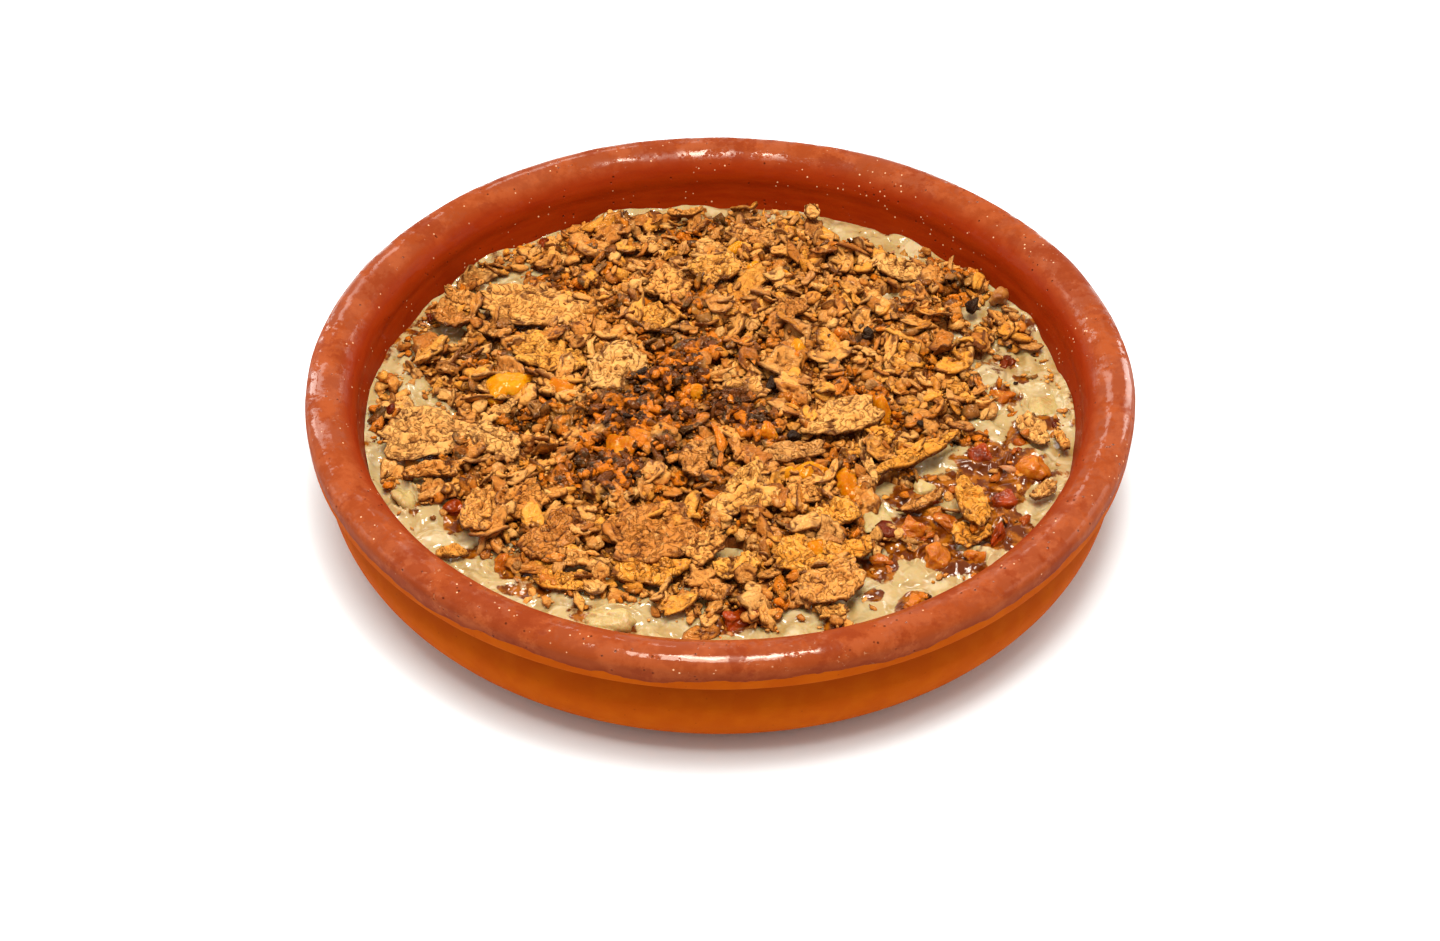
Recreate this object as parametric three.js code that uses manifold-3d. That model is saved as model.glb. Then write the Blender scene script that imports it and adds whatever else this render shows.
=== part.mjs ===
// Masoub in a round earthenware dish: banana cream with pieces of fruit, under a heap of crushed
// toasted flatbread. Millimetres, +Z up, origin on the underside of the dish at its centre.
// -Y is the side that faces the eater.
import * as THREE from "three";
import { mergeVertices } from "three/addons/utils/BufferGeometryUtils.js";
import Module from "manifold-3d";

const wasm = await Module();
wasm.setup();

// ---- Driving dimensions --------------------------------------------------------------------
const RIM_RADIUS = 80; // widest circle of the lip
const DISH_HEIGHT = 29;
const LIP_CROWN_RADIUS = 76.5; // circle of the lip's highest points
const LIP_WIDEST_Z = 26.4;
const LIP_UNDERSIDE_Z = 21.8;
const LIP_INNER_RADIUS = 70.2; // where the lip turns down into the wall
const LIP_INNER_Z = 22;
const BODY_RADIUS = 77.3;
const FOOT_ARC = 14; // radius of the turn from wall to base
const FLOOR_Z = 6; // inside floor, so the base is 6 mm thick
const FLOOR_ARC = 7;
const WALL_FOOT_RADIUS = 68.2; // inner wall just above the floor's arc
const DISH_SIDES = 56;

const CREAM_LEVEL = 17.2;
const CREAM_RINGS = 6;
const GAP = 0.3; // clearance between pieces that touch

const HEAP_CENTRE = new THREE.Vector2(0, 3);
// How far the heap reaches from its centre, every 22.5 degrees from +X.
const HEAP_REACH = [54, 61, 63, 63, 62, 63, 64, 64, 64, 63, 57, 57, 57, 60, 47, 47];
const HEAP_BASE_Z = CREAM_LEVEL + GAP;
const HEAP_EDGE_Z = 18.6;
const HEAP_TOP_Z = 21.2;
const HEAP_SIDES = 36;
const HEAP_RINGS = 5;
const HEAP_LIMIT_Z = 24.3; // no crumb stands higher than this

// ---- Seeded random numbers and small helpers -----------------------------------------------
function randomFrom(seed) {
  let state = seed;
  return () => {
    state = (state + 0x6d2b79f5) | 0;
    let t = Math.imul(state ^ (state >>> 15), 1 | state);
    t = (t + Math.imul(t ^ (t >>> 7), 61 | t)) ^ t;
    return ((t ^ (t >>> 14)) >>> 0) / 4294967296;
  };
}

const radians = THREE.MathUtils.degToRad;
const mix = THREE.MathUtils.lerp;

// A smooth wobble of about -1 to 1 that depends on a direction and a seed.
function wobble(x, y, z, seed) {
  const a = Math.sin(2.3 * x + 1.7 * y + 5.1 * seed);
  const b = Math.sin(3.1 * y - 2.2 * z + 3.7 * seed);
  const c = Math.sin(2.9 * z + 2.6 * x - 1.9 * seed);
  return (a + b + c) / 3;
}

// Moves every vertex of a geometry by a function of its position.
function reshape(geometry, move) {
  const place = geometry.getAttribute("position");
  const point = new THREE.Vector3();
  for (let i = 0; i < place.count; i++) {
    point.fromBufferAttribute(place, i);
    move(point);
    place.setXYZ(i, point.x, point.y, point.z);
  }
  return geometry;
}

function solidFrom(geometry) {
  const bare = new THREE.BufferGeometry();
  bare.setAttribute("position", geometry.getAttribute("position").clone());
  if (geometry.index) bare.setIndex(geometry.index.clone());
  const merged = mergeVertices(bare, 1e-4);
  return new wasm.Manifold(
    new wasm.Mesh({
      numProp: 3,
      vertProperties: merged.attributes.position.array,
      triVerts: new Uint32Array(merged.index.array),
    }),
  );
}

function geometryFrom(solid) {
  const mesh = solid.getMesh();
  return new THREE.BufferGeometry()
    .setAttribute("position", new THREE.BufferAttribute(mesh.vertProperties, 3))
    .setIndex(new THREE.BufferAttribute(mesh.triVerts, 1));
}

// The solid of a placed mesh, grown outwards by a clearance on every side.
function placedSolid(mesh, clearance = 0) {
  const grown = mesh.clone();
  grown.geometry = mesh.geometry.clone();
  grown.geometry.computeBoundingBox();
  const size = grown.geometry.boundingBox.getSize(new THREE.Vector3());
  grown.scale.set(
    1 + (2 * clearance) / size.x,
    1 + (2 * clearance) / size.y,
    1 + (2 * clearance) / size.z,
  );
  grown.updateMatrix();
  grown.geometry.applyMatrix4(grown.matrix);
  return solidFrom(grown.geometry);
}

function biggestBody(solid) {
  return solid.decompose().sort((a, b) => b.volume() - a.volume())[0];
}

// ---- Dish ----------------------------------------------------------------------------------
// Half of an ellipse's quarter turns, as points from one angle to another.
function arc(centreR, centreZ, radiusR, radiusZ, from, to, steps) {
  return Array.from({ length: steps + 1 }, (_, i) => {
    const a = radians(mix(from, to, i / steps));
    return new THREE.Vector2(centreR + radiusR * Math.cos(a), centreZ + radiusZ * Math.sin(a));
  });
}

// Inner wall radius at a height between the floor's arc and the lip.
function wallRadius(z) {
  const rise = (z - FLOOR_Z - FLOOR_ARC) / (LIP_INNER_Z - FLOOR_Z - FLOOR_ARC);
  return mix(WALL_FOOT_RADIUS, LIP_INNER_RADIUS, Math.max(rise, 0));
}

function dishGeometry() {
  const lipRise = DISH_HEIGHT - LIP_WIDEST_Z;
  const profile = [
    new THREE.Vector2(0, 0),
    ...arc(BODY_RADIUS - FOOT_ARC, FOOT_ARC, FOOT_ARC, FOOT_ARC, -90, 0, 5),
    new THREE.Vector2(BODY_RADIUS - 0.7, LIP_UNDERSIDE_Z - 0.9),
    new THREE.Vector2(RIM_RADIUS - 0.9, LIP_UNDERSIDE_Z),
    new THREE.Vector2(RIM_RADIUS - 0.2, LIP_UNDERSIDE_Z + 1.9),
    ...arc(LIP_CROWN_RADIUS, LIP_WIDEST_Z, RIM_RADIUS - LIP_CROWN_RADIUS, lipRise, 0, 90, 3),
    ...arc(
      LIP_CROWN_RADIUS,
      LIP_INNER_Z,
      LIP_CROWN_RADIUS - LIP_INNER_RADIUS,
      DISH_HEIGHT - LIP_INNER_Z,
      112,
      180,
      4,
    ),
    ...arc(WALL_FOOT_RADIUS - FLOOR_ARC, FLOOR_Z + FLOOR_ARC, FLOOR_ARC, FLOOR_ARC, 0, -90, 3),
    new THREE.Vector2(0, FLOOR_Z),
  ];
  return new THREE.LatheGeometry(profile, DISH_SIDES).rotateX(Math.PI / 2);
}

// ---- Cream ---------------------------------------------------------------------------------
// How far a point lies towards the heap's outline: 0 at the heap's centre, 1 on its outline.
function heapShare(x, y) {
  const dx = x - HEAP_CENTRE.x;
  const dy = y - HEAP_CENTRE.y;
  const turn = (Math.atan2(dy, dx) / (2 * Math.PI) + 1) % 1;
  const at = turn * HEAP_REACH.length;
  const near = HEAP_REACH[Math.floor(at) % HEAP_REACH.length];
  const next = HEAP_REACH[(Math.floor(at) + 1) % HEAP_REACH.length];
  const eased = THREE.MathUtils.smoothstep(at % 1, 0, 1);
  return Math.hypot(dx, dy) / mix(near, next, eased);
}

// Flat under the heap, so that the heap can stand on it, and softly lumpy beyond it.
function creamTop(x, y) {
  const open = THREE.MathUtils.smoothstep(heapShare(x, y), 1.02, 1.15);
  const lumps = 0.35 * Math.sin(0.42 * x + 1) * Math.sin(0.5 * y) + 0.25 * Math.sin(0.23 * (x - y));
  return CREAM_LEVEL + open * (lumps - 0.2);
}

function creamGeometry() {
  const edge = wallRadius(CREAM_LEVEL) - 1.5 * GAP;
  const foot = WALL_FOOT_RADIUS - FLOOR_ARC;
  const round = FLOOR_ARC - 1.5 * GAP;
  const rings = Array.from({ length: CREAM_RINGS }, (_, i) => edge * (1 - i / CREAM_RINGS));
  const profile = [
    new THREE.Vector2(0, FLOOR_Z + GAP),
    ...arc(foot, FLOOR_Z + FLOOR_ARC, round, FLOOR_ARC - GAP, -90, 0, 3),
    ...rings.map((r) => new THREE.Vector2(r, CREAM_LEVEL)),
    new THREE.Vector2(0, CREAM_LEVEL),
  ];
  const body = new THREE.LatheGeometry(profile, DISH_SIDES).rotateX(Math.PI / 2);
  return reshape(body, (p) => {
    if (p.z > CREAM_LEVEL - 1e-3) p.z = creamTop(p.x, p.y);
  });
}

// ---- Pieces --------------------------------------------------------------------------------
// A lump of fruit or nut: a ball pushed towards a box by squareness, with an uneven skin.
function lumpGeometry({ length, width, height, squareness = 0.4, seed, detail = 1 }) {
  const power = 1 - squareness;
  const soften = (v) => Math.sign(v) * Math.abs(v) ** power;
  return reshape(new THREE.IcosahedronGeometry(1, detail), (p) => {
    const uneven = 1 + 0.12 * wobble(p.x, p.y, p.z, seed);
    const reach = Math.cbrt(
      Math.abs(p.x) ** 3 + Math.abs(p.y) ** 3 + Math.abs(p.z) ** 3,
    );
    p.set(soften(p.x), soften(p.y), soften(p.z)).multiplyScalar(uneven * mix(1, reach, squareness));
    p.set((p.x * length) / 2, (p.y * width) / 2, (p.z * height) / 2);
  });
}

// A flake of crushed bread: a ragged plate whose ends curl up, with a middle ring if it is large.
function flakeGeometry({ length, width, thick = 1.3, curl = 0.6, seed, sides = 11, middle = true }) {
  const random = randomFrom(seed);
  const reach = Array.from({ length: sides }, () => mix(0.78, 1.12, random()));
  const rings = middle ? [1, 0.55] : [1];
  const place = [];
  const index = [];
  for (const top of [1, -1]) {
    for (const share of rings) {
      for (let i = 0; i < sides; i++) {
        const a = (i / sides) * 2 * Math.PI;
        const x = Math.cos(a) * share * reach[i];
        const y = Math.sin(a) * share * reach[i];
        const lift = curl * x * x + 0.25 * Math.sin(3 * x + 2 * y + seed);
        place.push((x * length) / 2, (y * width) / 2, lift + (top * thick * mix(1, 0.8, share)) / 2);
      }
    }
    place.push(0, 0, 0.25 * Math.sin(seed) + (top * thick) / 2);
  }
  const face = rings.length * sides + 1;
  const triangle = (a, b, c) => index.push(a, b, c);
  for (let i = 0; i < sides; i++) {
    const j = (i + 1) % sides;
    if (middle) {
      triangle(i, j, sides + j);
      triangle(i, sides + j, sides + i);
      triangle(face + i, face + sides + j, face + j);
      triangle(face + i, face + sides + i, face + sides + j);
    }
    const inner = (rings.length - 1) * sides;
    triangle(inner + i, inner + j, face - 1);
    triangle(face + inner + j, face + inner + i, 2 * face - 1);
    triangle(i, face + i, face + j);
    triangle(i, face + j, j);
  }
  return new THREE.BufferGeometry()
    .setAttribute("position", new THREE.Float32BufferAttribute(place, 3))
    .setIndex(index);
}

const heading = new THREE.Euler(0, 0, 0, "ZYX");

// Puts a mesh at a place, turned about Z by its heading and then tipped end and side, in degrees.
function put(mesh, { x, y, z, turn = 0, pitch = 0, roll = 0 }) {
  mesh.position.set(x, y, z);
  heading.set(radians(roll), radians(-pitch), radians(turn));
  mesh.rotation.copy(heading);
  mesh.updateMatrix();
  return mesh;
}

const material = (color, roughness) =>
  new THREE.MeshStandardMaterial({ color, roughness, metalness: 0 });
const glazedClay = material(0xb4532b, 0.28);
const bananaCream = material(0xd9c894, 0.25);
const toastedBread = material(0xd69c55, 0.8);
const softDate = material(0x9c3512, 0.2);
const driedApricot = material(0xc9671c, 0.2);
const bananaFlesh = material(0xd5c67c, 0.3);
const roastedNut = material(0xc07a2c, 0.35);
const blackRaisin = material(0x1d1512, 0.3);

function named(name, geometry, surface) {
  const mesh = new THREE.Mesh(geometry, surface);
  mesh.name = name;
  return mesh;
}

// Each fruit piece: size, place and how it lies, half sunk in the cream.
const FRUIT = [
  ["date_1", softDate, { length: 6, width: 4.6, height: 4, x: -50, y: -27.4, turn: -30 }],
  ["date_2", softDate, { length: 7, width: 5.4, height: 4.4, x: 51, y: -12, turn: 10 }],
  ["date_3", softDate, { length: 5.4, width: 5, height: 4.6, x: 53.4, y: -25.4, turn: 20 }],
  ["date_4", softDate, { length: 7, width: 3.2, height: 4, x: 52, y: -34.6, turn: 75 }],
  ["date_5", softDate, { length: 6.6, width: 3.4, height: 3.6, x: 37.6, y: -10.6, turn: 50 }],
  ["date_6", softDate, { length: 6.4, width: 5, height: 3.6, x: 3.2, y: -57.4, turn: 40 }],
  ["apricot_1", driedApricot, { length: 8.4, width: 7, height: 5, x: 60, y: -15.4, turn: -35 }],
  ["apricot_2", driedApricot, { length: 7, width: 6.6, height: 5, x: 35.4, y: -33.4, turn: 60 }],
  ["apricot_3", driedApricot, { length: 5.6, width: 4.2, height: 4, x: 42.6, y: -31, turn: -20 }],
  ["apricot_4", driedApricot, { length: 6.4, width: 5.8, height: 4.4, x: 40, y: -41.4, turn: 35 }],
  ["apricot_5", driedApricot, { length: 5.2, width: 4, height: 4, x: 47, y: -41, turn: 5 }],
  ["apricot_6", driedApricot, { length: 6, width: 5, height: 4, x: 56, y: 5.6, turn: 15 }],
  ["apricot_7", driedApricot, { length: 5.2, width: 5, height: 4, x: -40.4, y: -42.4, turn: 45 }],
  ["apricot_8", driedApricot, { length: 4.6, width: 3.4, height: 3.4, x: 35, y: -53.4, turn: 60 }],
  ["apricot_9", driedApricot, { length: 4, width: 3, height: 3, x: 29.6, y: -41.4, turn: 0 }],
];
const BANANA = [
  ["banana_1", { length: 9.6, width: 8.6, height: 3.6, x: 63.2, y: 3.6, turn: 80, rise: 0.2 }],
  ["banana_2", { length: 7, width: 5, height: 4.4, x: -60, y: -24.2, turn: 105, rise: 0.7 }],
  ["banana_3", { length: 10.4, width: 6.4, height: 4.6, x: 29, y: -31.6, turn: 75, rise: 0.6 }],
  ["banana_4", { length: 10.4, width: 5.6, height: 4.4, x: -19.6, y: -57.4, turn: -4, rise: 0.7 }],
  ["banana_5", { length: 6, width: 4.4, height: 4, x: 38.4, y: -22.6, turn: 20, rise: 0.8 }],
];
const NUTS = [
  ["nut_1", { length: 5.6, width: 4.4, height: 5, x: 56.4, y: 34.4, turn: 70, rise: 2.4 }],
  ["nut_2", { length: 3.8, width: 2.6, height: 2.4, x: 55, y: 28.6, turn: 25, rise: 1.4 }],
];
// Raisins that lie on the heap stand in a hollow of its core.
const RAISINS = [
  ["raisin_1", { length: 3.8, width: 3.2, height: 3, x: 51.2, y: 30.8, turn: 60, z: 20 }],
  ["raisin_2", { length: 3.6, width: 3, height: 2.8, x: 9.8, y: 3.8, turn: 70, z: 22 }],
  ["raisin_3", { length: 3.6, width: 2.8, height: 2.6, x: 29.6, y: 20.2, turn: -60, z: 21.4 }],
  ["raisin_4", { length: 3.4, width: 2.6, height: 2.6, x: 14, y: -11.6, turn: -10, z: 21.8 }],
];
// Flakes that lie by themselves on the cream, clear of the heap.
const LOOSE_FLAKES = [
  ["flake_1", { length: 15, width: 4.6, x: 47.6, y: -29.4, z: 20.9, turn: -76, curl: 0.3 }],
  ["flake_2", { length: 9.6, width: 5, x: 60.6, y: -5.8, z: 18.7, turn: -74, curl: 0.5 }],
  ["flake_3", { length: 7, width: 2.4, x: 65.9, y: -8.6, z: 18.9, turn: -80, curl: 0.4 }],
  ["flake_4", { length: 5.6, width: 3.4, x: 61, y: -24.2, z: 18.9, turn: 40, curl: 0.4 }],
  ["flake_5", { length: 5.6, width: 2.2, x: -53.6, y: -23.4, z: 19, turn: 8, curl: 0.2 }],
  ["flake_6", { length: 6, width: 2.4, x: -49.6, y: -40.6, z: 18.3, turn: -4, curl: 0.2 }],
];

const sunk = [];
FRUIT.forEach(([name, surface, at], i) => {
  const mesh = named(name, lumpGeometry({ ...at, squareness: 0.5, seed: i + 1 }), surface);
  sunk.push(put(mesh, { ...at, z: CREAM_LEVEL + 0.45, pitch: 6 * wobble(i, 1, 0, 2), roll: 5 }));
});
BANANA.forEach(([name, at], i) => {
  const mesh = named(name, lumpGeometry({ ...at, squareness: 0.15, seed: i + 31 }), bananaFlesh);
  sunk.push(put(mesh, { ...at, z: CREAM_LEVEL + at.rise - 0.6, roll: 6 }));
});
NUTS.forEach(([name, at], i) => {
  const mesh = named(name, lumpGeometry({ ...at, squareness: 0.1, seed: i + 41 }), roastedNut);
  sunk.push(put(mesh, { ...at, z: CREAM_LEVEL + at.rise }));
});
LOOSE_FLAKES.forEach(([name, at], i) => {
  const mesh = named(name, flakeGeometry({ ...at, seed: i + 61 }), toastedBread);
  sunk.push(put(mesh, { ...at, roll: 8 * wobble(i, 0, 2, 1) }));
});
const raisins = RAISINS.map(([name, at], i) => {
  const shape = lumpGeometry({ ...at, squareness: 0.3, seed: i + 51 });
  return put(named(name, shape, blackRaisin), { ...at, roll: 12 });
});

// ---- Heap of crushed bread -----------------------------------------------------------------
function heapTop(x, y) {
  const share = Math.min(heapShare(x, y), 1);
  const dome = mix(HEAP_TOP_Z, HEAP_EDGE_Z, share ** 2.2);
  const ripple = 0.35 * Math.sin(0.35 * x + 0.2 * y) + 0.3 * Math.sin(0.31 * y - 0.24 * x + 2);
  return dome + ripple * (1 - share ** 4);
}

// The core: a low dome with a flat foot, out to the heap's uneven outline.
function coreGeometry() {
  const place = [];
  const index = [];
  const reachAt = (a) => 1 / heapShare(HEAP_CENTRE.x + Math.cos(a), HEAP_CENTRE.y + Math.sin(a));
  const ragged = (a) => 1 + 0.025 * Math.sin(9 * a) + 0.02 * Math.sin(14 * a + 2);
  for (let ring = 0; ring <= HEAP_RINGS; ring++) {
    const share = 1 - Math.max(ring - 1, 0) / HEAP_RINGS;
    for (let i = 0; i < HEAP_SIDES; i++) {
      const a = (i / HEAP_SIDES) * 2 * Math.PI;
      const reach = reachAt(a) * ragged(a) * share;
      const x = HEAP_CENTRE.x + reach * Math.cos(a);
      const y = HEAP_CENTRE.y + reach * Math.sin(a);
      place.push(x, y, ring === 0 ? HEAP_BASE_Z : heapTop(x, y));
    }
  }
  const foot = place.length / 3;
  place.push(HEAP_CENTRE.x, HEAP_CENTRE.y, HEAP_BASE_Z);
  place.push(HEAP_CENTRE.x, HEAP_CENTRE.y, heapTop(HEAP_CENTRE.x, HEAP_CENTRE.y));
  for (let i = 0; i < HEAP_SIDES; i++) {
    const j = (i + 1) % HEAP_SIDES;
    index.push(foot, j, i);
    for (let ring = 0; ring < HEAP_RINGS; ring++) {
      const low = ring * HEAP_SIDES;
      index.push(low + i, low + j, low + HEAP_SIDES + j);
      index.push(low + i, low + HEAP_SIDES + j, low + HEAP_SIDES + i);
    }
    const last = HEAP_RINGS * HEAP_SIDES;
    index.push(last + i, last + j, foot + 1);
  }
  return new THREE.BufferGeometry()
    .setAttribute("position", new THREE.Float32BufferAttribute(place, 3))
    .setIndex(index);
}

// The large flakes that stand out on the heap: length, width, place, heading and tip in degrees.
const LARGE_FLAKES = [
  { length: 21, width: 12, x: -57, y: -10.4, lift: 1.6, turn: 12, pitch: -3, roll: 8, curl: 0.9 },
  { length: 13, width: 5, x: -54.4, y: -19, lift: 0.7, turn: 8, roll: 10 },
  { length: 22, width: 8.4, x: -38.4, y: 27, lift: 1.5, turn: -14, roll: 10, curl: 1.2 },
  { length: 11, width: 5.4, x: -53, y: 27.6, lift: 1.2, turn: -42, pitch: 8, curl: 1.2 },
  { length: 8, width: 4.4, x: -45, y: 21.4, lift: 1, turn: -25, roll: 14 },
  { length: 13, width: 10.6, x: -22, y: 8, lift: 1.2, turn: 78, pitch: 6 },
  { length: 9, width: 7.4, x: -11, y: 34.4, lift: 1.2, turn: 60, roll: 12 },
  { length: 9, width: 6.4, x: -13, y: 23.6, lift: 1, turn: 40, pitch: 8 },
  { length: 15, width: 9, x: -33.4, y: 13, lift: 1, turn: -12, roll: 8 },
  { length: 9.5, width: 3.6, x: -43.6, y: -4.6, lift: 1.3, turn: 44, roll: 8 },
  { length: 9.6, width: 8, x: -42, y: 4, lift: 1.1, turn: 20, roll: 6 },
  { length: 9.4, width: 5.4, x: -31.6, y: 2.4, lift: 1, turn: -8, roll: -8 },
  { length: 10.4, width: 5.4, x: 4.2, y: 0.4, lift: 1.2, turn: 15, roll: 12 },
  { length: 9, width: 7, x: -5, y: -19, lift: 1.1, turn: 70, roll: 6 },
  { length: 9, width: 6, x: 4.4, y: -16, lift: 1, turn: 80, roll: 8 },
  { length: 10.4, width: 7, x: -1, y: 40, lift: 1.1, turn: 30, roll: 10 },
  { length: 7, width: 4.6, x: -2, y: 48, lift: 1, turn: -35, roll: 8 },
  { length: 12, width: 5.6, x: 8, y: 52, lift: 1.1, turn: -14, roll: 8 },
  { length: 8, width: 6.4, x: 14, y: 26.6, lift: 1.1, turn: 55, pitch: 8 },
  { length: 9, width: 6, x: 37.6, y: 45, lift: 0.9, turn: -10, roll: 8 },
  { length: 16, width: 10, x: 24, y: -7.4, lift: 1.5, turn: 22, pitch: 5, curl: 0.7 },
  { length: 16, width: 9, x: 4.2, y: -29.4, lift: 1.5, turn: 43, roll: 9 },
  { length: 12, width: 5, x: 15, y: -16.6, lift: 1.3, turn: 12, roll: 6 },
  { length: 11, width: 3.6, x: 15.6, y: -22, lift: 1.6, turn: 28, curl: 0.8 },
  { length: 10, width: 5.6, x: 16, y: -27.4, lift: 0.9, turn: 20, roll: 10 },
  { length: 10, width: 8, x: 20.4, y: -34, lift: 1.2, turn: 70, pitch: 6 },
  { length: 9, width: 4.2, x: 30.4, y: -9.6, lift: 1.4, turn: -52, roll: 8 },
  { length: 20, width: 3.4, x: 38.2, y: -15.6, lift: 1.4, turn: 35, curl: 0.3 },
  { length: 9, width: 4, x: 47.4, y: 3.4, lift: 1, turn: -62, roll: 8 },
  { length: 17, width: 12, x: -12.6, y: -39.4, lift: 1.5, turn: 22, roll: 6, curl: 0.8 },
  { length: 14, width: 6.4, x: -13, y: -47.4, lift: 0.9, turn: -6, roll: 12 },
  { length: 12, width: 5.4, x: -44.6, y: -31, lift: 1.4, turn: 80, roll: 12, curl: 0.4 },
  { length: 10, width: 8.4, x: -36.4, y: -28, lift: 1.1, turn: -30, roll: 8 },
  { length: 13, width: 9, x: -31, y: -37.6, lift: 1.2, turn: 38, pitch: 4, curl: 0.3 },
  { length: 8.4, width: 4.2, x: -27.2, y: -44, lift: 1, turn: -6, roll: 14 },
  { length: 9, width: 5, x: -3, y: -42.6, lift: 1.3, turn: 45, roll: 8 },
  { length: 13, width: 9, x: 20.4, y: -50.6, lift: 1.6, turn: 14, roll: 6, curl: 0.4 },
  { length: 11.4, width: 8.4, x: 14.6, y: -44, lift: 1.3, turn: 35, roll: 10 },
  { length: 8, width: 6, x: 3.4, y: -46.6, lift: 1, turn: 10, roll: 10 },
  { length: 11, width: 9, x: -42, y: -12.6, lift: 1.2, turn: -40, roll: 5 },
  { length: 6, width: 5, x: 20.6, y: 60.6, lift: 3.4, turn: 90, pitch: 30 },
];

const MEDIUM_FLAKES = 18; // further flakes of 5 to 8 mm
const CRUMBS = 20; // crumbs of 3 to 5 mm

// Scattered places on the heap, each the loneliest of a few tries, so that they spread evenly.
function scatter(count, random, taken, within) {
  const tries = 8;
  for (let n = 0; n < count; n++) {
    let best = null;
    for (let t = 0; t < tries; t++) {
      const a = random() * 2 * Math.PI;
      const r = Math.sqrt(random()) * 62;
      const spot = new THREE.Vector2(HEAP_CENTRE.x + r * Math.cos(a), HEAP_CENTRE.y + r * Math.sin(a));
      if (heapShare(spot.x, spot.y) > within) continue;
      const space = Math.min(...taken.map((p) => p.distanceTo(spot)));
      if (!best || space > best.space) best = { spot, space };
    }
    if (best) taken.push(best.spot);
  }
  return taken;
}

function heapPieces() {
  const random = randomFrom(2024);
  // A large flake is thick enough to reach down through the fine crumbs to the core.
  const pieces = LARGE_FLAKES.map((at, i) => {
    const detail = { sides: 8, middle: at.length > 14 };
    const shape = flakeGeometry({ ...at, ...detail, thick: at.lift + 1.2, seed: i + 101 });
    const z = heapTop(at.x, at.y) + at.lift / 2;
    return put(named("large", shape, toastedBread), { ...at, z });
  });
  const spots = LARGE_FLAKES.map((at) => new THREE.Vector2(at.x, at.y));
  const first = spots.length;
  scatter(MEDIUM_FLAKES, random, spots, 0.93);
  scatter(CRUMBS, random, spots, 0.96);
  spots.slice(first).forEach((spot, i) => {
    const isFlake = i < MEDIUM_FLAKES;
    const length = isFlake ? mix(5, 8, random()) : mix(3, 5, random());
    const width = length * mix(0.55, 0.85, random());
    const shape = isFlake
      ? flakeGeometry({ length, width, seed: i + 201, sides: 7, middle: false })
      : lumpGeometry({ length, width, height: 2.2, seed: i, detail: 0 });
    const tip = isFlake ? 24 : 10;
    const lie = {
      x: spot.x,
      y: spot.y,
      z: heapTop(spot.x, spot.y) + 0.5,
      turn: 360 * random(),
      pitch: tip * (random() - 0.5),
      roll: tip * (random() - 0.5),
    };
    pieces.push(put(named("small", shape, toastedBread), lie));
  });
  return pieces;
}

// The room that the heap may take: over the cream, inside the wall and below the limit.
function roomGeometry() {
  const profile = [
    new THREE.Vector2(0, HEAP_BASE_Z),
    new THREE.Vector2(wallRadius(HEAP_BASE_Z) - 1.5 * GAP, HEAP_BASE_Z),
    new THREE.Vector2(wallRadius(LIP_INNER_Z) - 1.5 * GAP, LIP_INNER_Z),
    new THREE.Vector2(wallRadius(LIP_INNER_Z) - 1.5 * GAP, HEAP_LIMIT_Z),
    new THREE.Vector2(0, HEAP_LIMIT_Z),
  ];
  return new THREE.LatheGeometry(profile, DISH_SIDES).rotateX(Math.PI / 2);
}

// Joins the flakes and crumbs to the core, with a pocket for each fruit piece and raisin.
function heapSolid(neighbours) {
  const pieces = heapPieces().map((mesh) => placedSolid(mesh));
  const heaped = wasm.Manifold.union([solidFrom(coreGeometry()), ...pieces]);
  return biggestBody(heaped.intersect(solidFrom(roomGeometry())).subtract(neighbours));
}

// ---- The whole dish ------------------------------------------------------------------------
const dish = named("dish", dishGeometry(), glazedClay);
const sunkWithGap = wasm.Manifold.union(sunk.map((mesh) => placedSolid(mesh, GAP)));
const raisinsWithGap = wasm.Manifold.union(raisins.map((mesh) => placedSolid(mesh, GAP)));
const heap = heapSolid(sunkWithGap.add(raisinsWithGap));
const cream = biggestBody(solidFrom(creamGeometry()).subtract(sunkWithGap));

const masoub = new THREE.Group();
masoub.add(
  dish,
  named("cream", geometryFrom(cream), bananaCream),
  named("flake_heap", geometryFrom(heap), toastedBread),
  ...sunk,
  ...raisins,
);

export default masoub;
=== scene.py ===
"""Masoub in a glazed earthenware dish: banana cream and fruit under crushed toasted flatbread.

Every length in this file is in millimetres unless a name or a comment says otherwise; meshes are
written in metres. The dish stands on z = 0 with its front towards -Y.
"""

import math

import bpy
import numpy as np
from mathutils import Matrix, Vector


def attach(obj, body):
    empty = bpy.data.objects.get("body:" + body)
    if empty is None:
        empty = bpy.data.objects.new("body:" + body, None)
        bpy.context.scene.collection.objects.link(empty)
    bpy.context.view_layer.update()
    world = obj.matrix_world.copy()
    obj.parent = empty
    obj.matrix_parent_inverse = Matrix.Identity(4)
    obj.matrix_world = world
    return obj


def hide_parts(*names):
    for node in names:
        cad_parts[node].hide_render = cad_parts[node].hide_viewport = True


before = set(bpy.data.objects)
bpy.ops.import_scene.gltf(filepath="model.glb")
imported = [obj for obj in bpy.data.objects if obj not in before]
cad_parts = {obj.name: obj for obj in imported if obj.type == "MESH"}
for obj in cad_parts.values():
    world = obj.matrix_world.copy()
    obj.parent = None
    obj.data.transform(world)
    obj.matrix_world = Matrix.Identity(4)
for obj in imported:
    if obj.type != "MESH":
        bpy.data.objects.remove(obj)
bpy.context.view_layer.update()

bl_info = {
    "name": "Dish of masoub",
    "version": (1, 0, 0),
    "blender": (4, 5, 0),
    "location": "View3D > Sidebar > Masoub",
    "description": "Dresses the packed dish with glaze, banana cream, fruit and crushed bread",
    "category": "Object",
}

MM = 0.001
TURN = 2 * math.pi

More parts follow.
